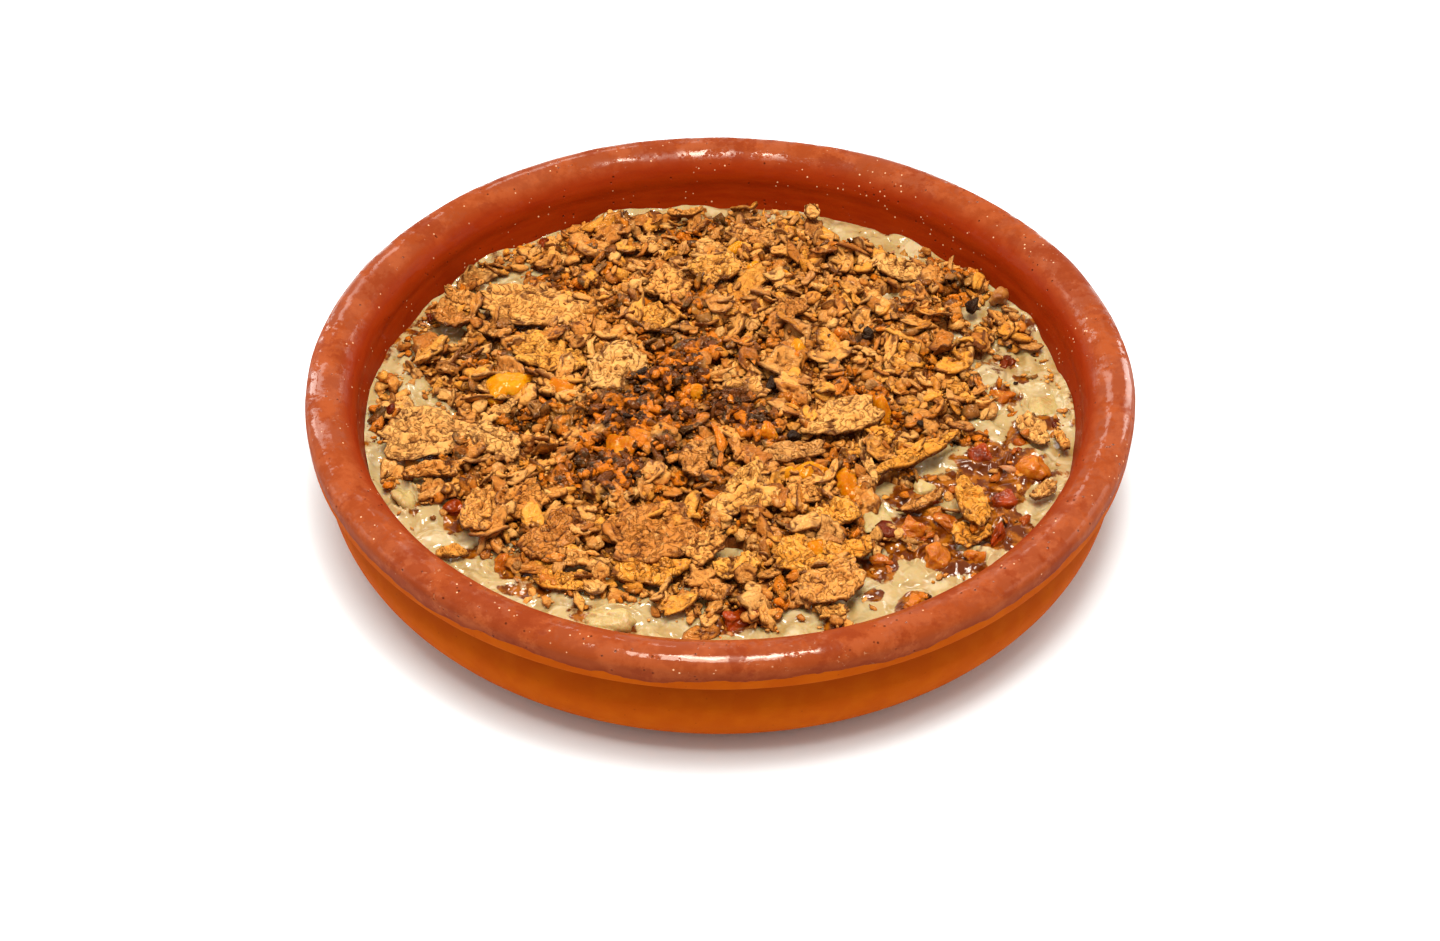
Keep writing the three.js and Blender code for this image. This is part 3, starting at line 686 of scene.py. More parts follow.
def banana_cream(settings):
    """Pale, warm ivory, wet and slightly see-through, with milky streaks. It is darker and browner
    in random patches and, as painted shade, in its hollows; browner where syrup has run, and
    amber where the syrup is thick."""
    f = Finish("wet_cream")
    low, syrup = f.attribute("low"), f.attribute("syrup")
    base = f.over(
        settings.cream,
        # Painted shade: towards the shade colour in the hollows, by the value of low, and in random
        # patches.
        ((f.noise(7, 3.0, 0.55) * 0.7 + low * 0.38).step(0.38, 0.75) * 0.75, settings.shade),
        (f.noise(5.5, 3.0, 0.6, 0.8).step(0.48, 0.66) * 0.6, (0.68, 0.54, 0.31)),
        (f.noise(1.1, 3.0, 0.6, 1.2).step(0.55, 0.75) * 0.12, (0.72, 0.6, 0.36)),
        (f.cells(2.3).step(0.12, 0.06) * f.noise(8, 1.0).step(0.52, 0.6) * 0.8, (0.3, 0.09, 0.02)),
    )
    run = (syrup + f.noise(2.2, 4.0, 0.65) - 0.5).step(0.38, 0.62)
    thick = f.noise(2.4, 3.0).step(0.44, 0.66)
    amber = f.blend(thick, (0.12, 0.021, 0.001), (0.38, 0.105, 0.004))
    relief = f.bump(f.noise(4.2, 1.0, 0.4, 0.6) * 0.9 + f.noise(1.6, 1.0) * 0.15, 2.0)
    cream = f.shader(
        Base_Color=base,
        Roughness=0.05 + f.noise(3) * 0.1,
        Normal=relief,
        Subsurface_Weight=0.45,
        Subsurface_Radius=(1.0, 0.5, 0.2),
        Subsurface_Scale=0.002,
        IOR=1.5,
    )
    syrup = f.shader(
        Base_Color=f.blend(run, base, amber),
        Roughness=0.06,
        Normal=relief,
        Specular_IOR_Level=0.5,
        Specular_Tint=PALE_GLOSS,
    )
    return f.surface(f.layered(run, cream, syrup))


class MASOUB_OT_cream(bpy.types.Operator):
    """Fills the dish with banana cream up to its level"""

    bl_idname = "masoub.cream"
    bl_label = "Banana cream"

    def execute(self, context):
        settings = context.scene.masoub_cream
        lump = settings.lump / MM
        turn = np.linspace(0, TURN, 480, endpoint=False)
        inner, outer = np.linspace(3, 50, 16), np.linspace(50.4, CREAM_RADIUS, 118)
        radius = np.concatenate([inner, outer])[::-1, None]
        x, y = radius * np.cos(turn), radius * np.sin(turn)
        top = in_plane(x, y, cream_height(x, y, lump))
        wall = wall_radius(np.array([8.0, 11.0, 14.0, 16.0]))[:, None] + 0.02
        wall[0] -= 3.0
        low = np.array([FLOOR_Z, 10.0, 13.0, 15.5])[:, None]
        sides = in_plane(wall * np.cos(turn), wall * np.sin(turn), low)
        points = np.concatenate([sides, top])
        level = float(cream_height(np.array(0.0), np.array(0.0), lump))
        shell = shell_points(points, np.array([0, 0, FLOOR_Z]), np.array([0, 0, level]))
        values = {
            # Painted shade: how far below the cream's level each point lies, which darkens the hollows.
            "low": smoothstep(0.4, -0.8, shell[:, 2] - CREAM_LEVEL),
            "syrup": syrup_share(shell[:, 0], shell[:, 1]),
        }
        faces = shell_faces(*points.shape[:2])
        finish = banana_cream(settings)
        add_piece("cream_fill", shell[None], faces, finish, ["cream"], values)
        return {"FINISHED"}


# ---- Fruit, nuts and raisins ---------------------------------------------------------------
def numbered(node, roll, *rows):
    """Each row: length, width, height, x, y, z and turn in degrees. Puts the piece's node name
    before it and the roll in degrees behind."""
    return [(f"{node}_{at}", *row, roll) for at, row in enumerate(rows, 1)]


DATES = numbered(
    "date",
    5,
    (6.0, 4.6, 4.0, -50.0, -27.4, 17.65, -30), (7.0, 5.4, 4.4, 51.0, -12.0, 17.65, 10),
    (5.4, 5.0, 4.6, 53.4, -25.4, 17.65, 20), (7.0, 3.2, 4.0, 52.0, -34.6, 17.65, 75),
    (6.6, 3.4, 3.6, 37.6, -10.6, 17.65, 50), (6.4, 5.0, 3.6, 3.2, -57.4, 17.65, 40),
)
APRICOTS = numbered(
    "apricot",
    5,
    (8.8, 7.4, 5.2, 60.0, -15.4, 17.65, -35), (7.0, 6.6, 5.0, 35.4, -33.4, 17.65, 60),
    (5.6, 4.2, 4.0, 42.6, -31.0, 17.65, -20), (6.4, 5.8, 4.4, 40.0, -41.4, 17.65, 35),
    (5.2, 4.0, 4.0, 47.0, -41.0, 17.65, 5), (6.0, 5.0, 4.0, 56.0, 5.6, 17.65, 15),
    (5.2, 5.0, 4.0, -40.4, -42.4, 17.65, 45), (4.6, 3.4, 3.4, 35.0, -53.4, 17.65, 60),
    (4.0, 3.0, 3.0, 29.6, -41.4, 17.65, 0),
)
BANANAS = numbered(
    "banana",
    6,
    (9.6, 8.6, 3.6, 63.2, 3.6, 16.8, 80), (7.0, 5.0, 4.4, -60.0, -24.2, 17.3, 105),
    (10.4, 6.4, 4.6, 29.0, -31.6, 17.2, 75), (10.4, 5.6, 4.4, -19.6, -57.4, 17.3, -4),
    (6.0, 4.4, 4.0, 38.4, -22.6, 17.4, 20),
)
NUTS = numbered(
    "nut",
    0,
    (5.6, 4.4, 5.0, 56.4, 34.4, 19.6, 70), (3.8, 2.6, 2.4, 55.0, 28.6, 18.6, 25),
)
RAISINS = numbered(
    "raisin",
    12,
    (3.8, 3.2, 3.0, 51.2, 30.8, 20.0, 60), (3.6, 3.0, 2.8, 9.8, 3.8, 22.0, 70),
    (3.6, 2.8, 2.6, 29.6, 20.2, 21.4, -60), (3.4, 2.6, 2.6, 14.0, -11.6, 21.8, -10),
)

# Black seeds and scraps of burnt skin. They lie on what is below, so their z is 0.
BLACK_BITS = numbered(
    "black_bit",
    0,
    (3.2, 2.4, 2.2, -15.0, 5.0, 0.0, 30), (2.6, 1.8, 1.6, -17.6, -8.6, 0.0, -20),
    (1.7, 1.4, 1.3, 38.5, -7.5, 0.0, 0), (1.3, 1.3, 1.2, 58.5, 9.5, 0.0, 0),
    (1.6, 1.2, 1.0, 58.0, 20.0, 0.0, 50), (1.2, 1.0, 0.9, -13.0, 26.0, 0.0, 0),
    (1.2, 0.9, 0.8, 6.0, -48.0, 0.0, 20), (1.0, 0.8, 0.7, 44.0, -48.0, 0.0, 0),
)


def morsels(table, softness, rough, seed, rings=30, columns=44):
    """Chunks of fruit: a ball cut by random planes with rounded edges, stretched to the length,
    width and height that the table gives, with fine wrinkles worked along its normal."""
    chunks, faces = lump_shells(len(table), seed, rings, columns, softness)
    chunks = chunks / np.abs(chunks).max(axis=1, keepdims=True)
    size = np.array([row[1:4] for row in table])
    place = np.array([row[4:7] for row in table])
    turns, rolls = np.radians([row[7] for row in table]), np.radians([row[8] for row in table])
    sample = chunks * size[:, None] / 2 + 40.0 * np.arange(len(table))[:, None, None]
    wrinkles = rough * (fractal(sample, 1.4, seed + 2, 3) - 0.2)
    chunks = np.sign(chunks) * np.abs(chunks) ** 0.85
    points = chunks * (1 + wrinkles)[..., None] * size[:, None] / 2
    points = turned(points, turns, np.zeros(len(table)), rolls) + place[:, None]
    return points, faces


def juicy(name, base, dark, light, roughness=0.06, scatter=0.35, bump=0.35, gloss=PALE_GLOSS):
    """Soft, wet fruit flesh: slow changes between three colours, fibres and a glossy skin."""
    f = Finish(name)
    deep = f.noise(2.6, 3.0, 0.6).step(0.35, 0.7)
    fibres = f.noise(1.5, 3.0, 0.6, 1.0).step(0.55, 0.75)
    return f.surface(
        Base_Color=f.over(base, (deep * 0.75, dark), (fibres * 0.6, light)),
        Roughness=roughness + f.noise(2) * 0.08,
        Normal=f.bump(f.noise(1.3, 4.0, 0.6, 0.5), bump),
        Subsurface_Weight=scatter,
        Subsurface_Radius=(1.0, 0.35, 0.12),
        Subsurface_Scale=0.0016,
        IOR=1.46,
        Specular_IOR_Level=0.5,
        Specular_Tint=gloss,
    )


class MASOUB_OT_fruit(bpy.types.Operator):
    """Adds the date, apricot, banana, nut and raisin pieces that lie half sunk in the cream"""

    bl_idname = "masoub.fruit"
    bl_label = "Fruit and nuts"

    def execute(self, context):
        tones = context.scene.masoub_fruit
        # Each: piece, table, softness, roughness, seed, slot and the finish's own values.
        kinds = [
            ("date_pieces", DATES, 0.14, 0.06, 60, "soft_date",
             (tones.date, (0.06, 0.004, 0.001), (0.42, 0.07, 0.008))),
            ("apricot_pieces", APRICOTS, 0.12, 0.06, 65, "dried_apricot",
             (tones.apricot, (0.3, 0.045, 0.001), (0.72, 0.3, 0.03))),
            ("banana_lumps", BANANAS, 0.2, 0.05, 70, "banana_flesh",
             (tones.banana, (0.46, 0.27, 0.08), (0.66, 0.54, 0.27), 0.2, 0.5)),
            ("nut_pieces", NUTS, 0.25, 0.04, 75, "roasted_nut",
             ((0.46, 0.17, 0.025), (0.22, 0.05, 0.008), (0.62, 0.32, 0.09), 0.3, 0.1)),
            ("raisins", RAISINS, 0.2, 0.16, 80, "black_raisin",
             ((0.02, 0.007, 0.003), (0.005, 0.002, 0.001), (0.06, 0.017, 0.005),
              0.2, 0.0, 0.6, DIM_GLOSS)),
        ]
        for name, table, softness, rough, seed, slot, look in kinds:
            points, faces = morsels(table, softness, rough, seed)
            nodes = [row[0] for row in table]
            add_piece(name, points, faces, juicy(slot, *look), nodes)
        return {"FINISHED"}


# ---- Heap of crushed bread -----------------------------------------------------------------
def heap_top(x, y):
    """Top of the heap's core: a low dome over the outline with slow ripples."""
    share = np.minimum(heap_share(x, y), 1)
    dome = HEAP_TOP_Z + (HEAP_EDGE_Z - HEAP_TOP_Z) * share**2.2
    ripple = 0.35 * np.sin(0.35 * x + 0.2 * y) + 0.3 * np.sin(0.31 * y - 0.24 * x + 2)
    return dome + ripple * (1 - share**4)


# Dark, honey-soaked places: x, y, radius, strength.
HONEY_SPOTS = [
    (-8, 11, 7, 1.0), (-6, 5, 6, 1.0), (-15, 2, 5, 0.9), (-19, -7, 6, 0.9), (-9, -6, 5, 0.9),
    (-20, -19, 8, 1.0), (-27, -23, 5, 0.8), (-11, -16, 4, 0.7), (7, -8, 5, 0.8), (2, -4, 6, 0.9),
    (10, -12, 4, 0.7), (29, -2, 5, 0.6), (37, 0, 4, 0.4), (29, 19, 3, 0.6), (17, 9, 4, 0.3),
]


def honey_share(x, y):
    """How much dark honey has soaked in."""
    return spots_share(x, y, HONEY_SPOTS, 71)


class Ground:
    """Height map of what already lies in the dish, on which later pieces come to rest."""

    CELL = 0.4
    HALF = 72.0

    def __init__(self):
        ticks = np.arange(-self.HALF, self.HALF + self.CELL, self.CELL)
        self.x, self.y = np.meshgrid(ticks, ticks, indexing="ij")
        self.z = np.full(self.x.shape, CREAM_LEVEL)

    def patch(self, x, y, half):
        """The cells of a square of the given half width."""
        low_x = max(int((x - half + self.HALF) / self.CELL), 0)
        low_y = max(int((y - half + self.HALF) / self.CELL), 0)
        count = int(2 * half / self.CELL) + 2
        return slice(low_x, low_x + count), slice(low_y, low_y + count)

    def cell(self, x, y):
        """Indices of the cell nearest to each point."""
        return tuple(
            np.clip(np.rint((at + self.HALF) / self.CELL).astype(int), 0, len(self.z) - 1)
            for at in (x, y)
        )

    def settle(self, x, y, long, wide, thick, turn, follow, sink):
        """Lays an oval plate down: it takes a share of the slope below, by follow, and rests at the
        height that a share of the ground, by sink, stays under. Returns its height, pitch and
        roll, and adds it to the map."""
        at = self.patch(x, y, long / 2 + self.CELL)
        u, v = oval(self.x[at], self.y[at], x, y, long, wide, turn)
        inside = u * u + v * v < 1
        if inside.sum() < 3:
            return float(self.z[self.cell(x, y)]), 0.0, 0.0
        z = self.z[at][inside]
        u, v = u[inside], v[inside]
        above = z - z.mean()
        slope_u = follow * (above * u).sum() / max((u * u).sum(), 1e-6)
        slope_v = follow * (above * v).sum() / max((v * v).sum(), 1e-6)
        slope_u = float(np.clip(slope_u, -0.25 * long, 0.25 * long))
        slope_v = float(np.clip(slope_v, -0.3 * wide, 0.3 * wide))
        rest = float(np.quantile(z - slope_u * u - slope_v * v, sink))
        top = rest + slope_u * u + slope_v * v + thick * np.sqrt(1 - (u**2 + v**2) * 0.9)
        self.z[at][inside] = np.minimum(np.maximum(z, top), HEAP_LIMIT_Z - 0.3)
        return rest, math.atan2(slope_u, long / 2), math.atan2(slope_v, wide / 2)

    def settle_all(self, x, y, long, wide, thick, turn, follow, sink):
        """Lays plates down one after another."""
        rows = zip(x, y, long, wide, thick, turn)
        found = [self.settle(*map(float, row), follow, sink) for row in rows]
        return [np.array(column) for column in zip(*found)]

    def stand(self, x, y, long, wide, z, tall, turn):
        """Adds ellipsoids that stand at height z, of half height tall, turned by turn radians."""
        rows = np.stack(np.broadcast_arrays(x, y, long, wide, z, tall, turn), -1)
        for px, py, pl, pw, pz, half, angle in rows.tolist():
            at = self.patch(px, py, pl / 2 + 1)
            u, v = oval(self.x[at], self.y[at], px, py, pl, pw, angle)
            inside = u * u + v * v < 1
            patch = self.z[at]
            top = pz + half * np.sqrt(1 - (u * u + v * v)[inside])
            patch[inside] = np.maximum(patch[inside], top)


GROUND = Ground()

# Open cream that the crumbs leave bare: x, y, half length, half width, turn in degrees.
BARE = [
    (-44, 39, 10.5, 5.2, 35), (-57, 24, 6.5, 4.2, 30), (-58.6, -1.6, 4, 2, 0), (46, 24, 4.5, 2.6, -30),
    (53, -3.5, 5, 3, 0), (26, 57.5, 8, 3.2, -20), (35, 37, 3, 1.8, 20), (30, 28, 2.6, 1.6, -30),
    (50, 16, 3, 2, 0), (40, 10, 2.4, 1.6, 20), (-65, 17, 3, 4.5, 0), (-57, 1, 5, 4, 20),
    (-61, 9, 2.5, 4, 0), (-56, -34, 7, 9, -45), (-44, -48, 10, 6, -35), (-31, -57, 9, 5, -20),
    (-13, -62, 8, 4, 0), (12, -63, 9, 3.5, 0), (29, -52, 7, 9, 30), (42, -52, 9, 5, 35),
    (48, -17, 8, 8, 0), (36, -31, 8, 6, 0), (47, -36, 8, 9, 0), (58, -28, 6, 9, 30), (57, -12, 9, 9, 0),
    (60, 4, 8, 8, 0), (58, 15, 8, 6, 20), (30, -43, 6, 5, 0), (39, 52, 8, 3, -40), (29, 59, 7, 3, -25),
    (0, 66, 9, 2, 0), (-14, 64.5, 6, 2, 10), (14, -57, 4, 3, 0), (1, -40, 3.4, 2.6, 20),
    (33, -24, 4, 3.4, 0),
]


def bareness(x, y):
    """1 in the middle of an open patch of cream, falling to 0 at its ragged edge."""
    ragged = 1 + 0.35 * fractal(in_plane(x, y), 4, 77, 2)
    share = np.zeros(np.shape(x))
    for px, py, long, wide, turn in BARE:
        out = np.hypot(*oval(x, y, px, py, 2 * long, 2 * wide, math.radians(turn)))
        share = np.maximum(share, smoothstep(1.15, 0.8, out * ragged))
    return share


def toasted_bread(settings):
    """Dry toasted bread. Each piece's shade puts it between light and mid tan, and in one of
    four groups: plain, beige, golden or browned. It has browner patches, a painted highlight on
    the raised grain, winding creases by the value of worm, dark pits, and a painted shade that
    the mesh gives in creases, gaps, outlines and undersides. Half the pieces have a wet gloss.
    A value of honey turns it orange or dark brown, and glossy, and near black where the painted
    shade falls."""
    f = Finish("crushed_toast")
    shade, honey = f.attribute("shade"), f.attribute("honey")
    pit, worm = f.attribute("pit"), f.attribute("worm")
    second, third = (shade * 7.31).fraction(), (shade * 29.3).fraction()
    pale = (f.noise(4.5, 3.0, 0.6) * 0.6 + shade * 0.9 - 0.25).step(0.2, 0.8)
    brown = (f.noise(1.7, 4.0, 0.65) + shade * 0.5).step(0.7, 1.0)
    crumb = f.noise(1.2, 3.0, 0.55) * 0.8 + f.noise(3.0, 2.0, 0.5, 0.9) * 0.6
    winding = (f.noise(2.3, 2.0, 0.5, 1.3) - 0.5).size().step(0.05, 0.005)
    holes = f.cells(1.5).step(0.2, 0.08) * f.noise(3.4, 2.0).step(0.55, 0.65)
    tone = f.over(
        f.blend(pale, settings.pale, settings.toast),
        (second.step(0.5, 0.7) * 0.7, settings.beige),
        (third.step(0.7, 0.8) * 0.7, settings.golden),
        (third.step(0.24, 0.14) * 0.38, settings.crust),
        (brown * 0.5, settings.crust),
        # Painted highlight: lighter where the crumb noise, which also makes the bump, stands highest.
        (crumb.step(0.72, 0.95) * 0.4, settings.grain_highlight),
        (winding * (0.14 + worm * 0.3), settings.crust),
        # Painted shade in the mesh's creases, gaps, outlines and undersides, with the bread's own
        # holes, in one dark colour.
        ((pit.step(0.08, 0.95) + holes * 0.7).least(1.0) * 0.9, settings.pit),
    )
    rich = (shade * 0.9 + f.noise(2.2, 3.0, 0.6) * 0.5 + 0.35 - honey * 0.35).step(0.6, 0.95)
    # Near black in random dark clusters and, as painted shade, where the honeyed bread lies in creases,
    # gaps and undersides.
    burnt_and_shaded = (pit * 0.9 + f.noise(3.1, 2.0).step(0.54, 0.62)).least(1.0)
    soaked = f.over(settings.soaked, (rich, (0.68, 0.165, 0.004)), (burnt_and_shaded, (0.02, 0.004, 0.001)))
    skin = {
        "Base_Color": f.blend(honey.step(0.26, 0.66) * 0.94, tone, soaked),
        "Normal": f.bump(crumb - winding * (0.25 + worm * 0.5) - holes * 0.3, 0.5),
        "Specular_Tint": WARM_GLOSS,
    }
    dry = f.shader(Roughness=0.4, Specular_IOR_Level=0.22, **skin)
    wet = f.shader(Roughness=0.08 + f.noise(1.5) * 0.09, Specular_IOR_Level=0.38, **skin)
    glossy = (shade * 13.7).fraction().step(0.35, 0.5) * 0.5
    return f.surface(f.layered(honey.step(0.15, 0.6).most(glossy), dry, wet))


def add_bread(context, name, points, faces, values, nodes=("flake_heap",)):
    """Adds pieces in the one toasted-bread material, which is made on first use."""
    finish = bpy.data.materials.get("crushed_toast") or toasted_bread(context.scene.masoub_bread)
    add_piece(name, points, faces, finish, nodes, values)


class MASOUB_OT_bed(bpy.types.Operator):
    """Makes the heap's core as a bed of fine crumbs"""

    bl_idname = "masoub.bed"
    bl_label = "Crumb bed"

    def execute(self, context):
        turn = np.linspace(0, TURN, 520, endpoint=False)
        cos, sin = np.cos(turn), np.sin(turn)
        inverse = heap_share(HEAP_CENTRE[0] + cos, HEAP_CENTRE[1] + sin)
        ragged = fractal(in_plane(3 * cos, 3 * sin) * 3, 1, 81, 3)
        reach = (0.985 + 0.04 * ragged) / inverse
        share = np.linspace(1, 0.02, 160)[:, None] ** 0.8
        x, y = HEAP_CENTRE[0] + share * reach * cos, HEAP_CENTRE[1] + share * reach * sin
        z, pit = bed_height(x, y, share)
        foot = CREAM_LEVEL - SKIRT
        points = np.concatenate([in_plane(x[0], y[0], foot)[None], in_plane(x, y, z)])
        middle = np.array([*HEAP_CENTRE, float(z[-1].mean())])
        shell = shell_points(points, np.array([*HEAP_CENTRE, foot]), middle)
        # Painted shade in the gaps between the crumbs, stronger at the bed's foot, and a little over
        # all of it.
        pits = np.concatenate([pit[:1] + 0.5, pit]).ravel()
        patches = smoothstep(-0.1, 0.5, fractal(shell * [1, 1, 0], 6, 73, 3))
        values = {
            "pit": np.minimum(np.append(pits, [1, 0]) + 0.15, 1),
            "shade": 0.75 + 0.25 * value_noise(shell / 3, 83),
            "honey": np.maximum(honey_share(shell[:, 0], shell[:, 1]), 0.6 * patches),
        }
        add_bread(context, "crumb_bed", shell[None], shell_faces(*points.shape[:2]), values)
        inside = heap_share(GROUND.x, GROUND.y)
        level, _ = bed_height(GROUND.x, GROUND.y, inside)
        cream = cream_height(GROUND.x, GROUND.y, context.scene.masoub_cream.lump / MM)
        GROUND.z[:] = np.where(inside < 1, np.maximum(level, cream), cream)
        GROUND.z[np.hypot(GROUND.x, GROUND.y) > CREAM_RADIUS] = WALL_STOP_Z
        fruit = DATES + APRICOTS + BANANAS + NUTS + RAISINS
        long, wide, tall, x, y, z, turn, _ = columns_of(fruit, 1)
        GROUND.stand(x, y, long, wide, z, tall / 2, np.radians(turn))
        return {"FINISHED"}


def bed_height(x, y, share):
    """A bed below the core's top with crumbs as relief: rounded cells of 2.4 mm with finer lumps
    on them and sunk gaps. It dips under the cream in the bare patches. Returns the height and how
    deep in a gap each point lies, which is painted as shade."""
    points = in_plane(x, y, 0.0)
    warp = in_plane(value_noise(points / 2, 85), value_noise(points / 2, 86)) * 0.7
    near, second = cells(points + warp, 2.4, 87)
    fine, crease = billow(points, 1.3, 88)
    big = np.sqrt(np.clip(1 - near**2, 0, 1))
    gap = smoothstep(0.22, 0.0, second - near) * 0.8 + 0.5 * crease
    edge = smoothstep(1.0, 0.9, share) * (1 - smoothstep(0.2, 0.6, bareness(x, y)))
    height = heap_top(x, y) - BED_DROP + 1.2 * big + 0.5 * fine - 0.35 * gap
    height = CREAM_LEVEL - BED_DIP + edge * (height - CREAM_LEVEL + BED_DIP)
    return height, np.clip(gap + 0.2, 0, 1)


def flake_shells(long, wide, thick, curl, seed, rings, columns, lump, grain=2.0, torn=1.0):
    """Flakes as closed plates on a polar grid. The outline is a rounded box whose radius is torn
    by noise at four sizes; the middle surface is bent by curl x (x squared) and crumpled by noise,
    the two faces lie half a thickness either side of it, and creased lumps stand on both. Also
    returns the faces and a painted shade for each point: in creases, low between the lumps,
    towards the outline and underneath."""
    count = len(long)
    square = 2.4
    under = max(rings // 4, 1)
    turn = np.linspace(0, TURN, columns, endpoint=False)
    below = np.linspace(0, 1, under + 1)[1:]
    above = np.linspace(1, 0, rings + 1)[:-1]
    share = np.concatenate([below, above])[:, None]
    side = np.concatenate([-np.ones(under), np.ones(rings)])[:, None]
    boxed = (np.abs(np.cos(turn)) ** square + np.abs(np.sin(turn)) ** square) ** (-1 / square)
    offset = in_plane(13.7 * np.arange(count), 5.1, 2.9)[:, None] + seed
    circle = in_plane(np.cos(turn), np.sin(turn))[None] * 1.0
    waves = ((0.36, 1.1, 1), (0.2, 2.4, 2), (0.12, 4.6, 3), (0.08, 8.5, 7))
    broken = sum(high * value_noise(circle * fine + offset, seed + k) for high, fine, k in waves)
    reach = boxed * (0.96 + torn * broken)
    long, wide, thick, curl = (column[:, None, None] for column in (long, wide, thick, curl))
    x = share[None] * (reach * np.cos(turn))[:, None] * long / 2
    y = share[None] * (reach * np.sin(turn))[:, None] * wide / 2
    flat = in_plane(x, y) + 9.3 * np.arange(count)[:, None, None, None]
    bend = curl * (x / (long / 2)) ** 2
    bend += 0.5 * curl * (y / (wide / 2)) ** 2
    crumple = 0.7 * value_noise(flat / 4.2, seed + 4) + 0.35 * value_noise(flat / 1.9, seed + 5)
    flat = flat + 1.1 * crumple[..., None] + 40 * (side < 0)[..., None]
    bumps, crease = billow(flat, grain, seed + 6)
    edge = np.sqrt(np.clip(1 - share**4, 0.0, 1))[None]
    half = thick / 2 * (0.4 + 0.6 * edge)
    swell = lump * (1.7 * bumps - 0.8 - 0.5 * crease) * (0.5 + 0.5 * edge)
    z = bend + crumple * np.minimum(1, long / 8) + side[None] * (half + swell)
    low, top = (in_plane(0.0, 0.0, z[:, at].mean(1)) for at in (0, -1))
    points = shell_points(in_plane(x, y, z), low, top)
    # Painted shade: darker underneath, towards the outline and low between the lumps; the creases are
    # added below.
    shaded = np.where(side < 0, 0.5, 0.0)[None] + 0.45 * (1 - edge)
    shaded = shaded + smoothstep(0.5, 0.15, bumps) * 0.45
    pit = np.concatenate([(crease * 0.8 + shaded).reshape(count, -1), np.zeros((count, 2))], 1)
    return points, shell_faces(rings + under, columns), np.minimum(pit, 1)


def lie_down(points, x, y, z, turn, pitch, roll):
    """Shells turned, then moved to their places."""
    return turned(points, turn, pitch, roll) + np.stack([x, y, z], -1)[:, None]


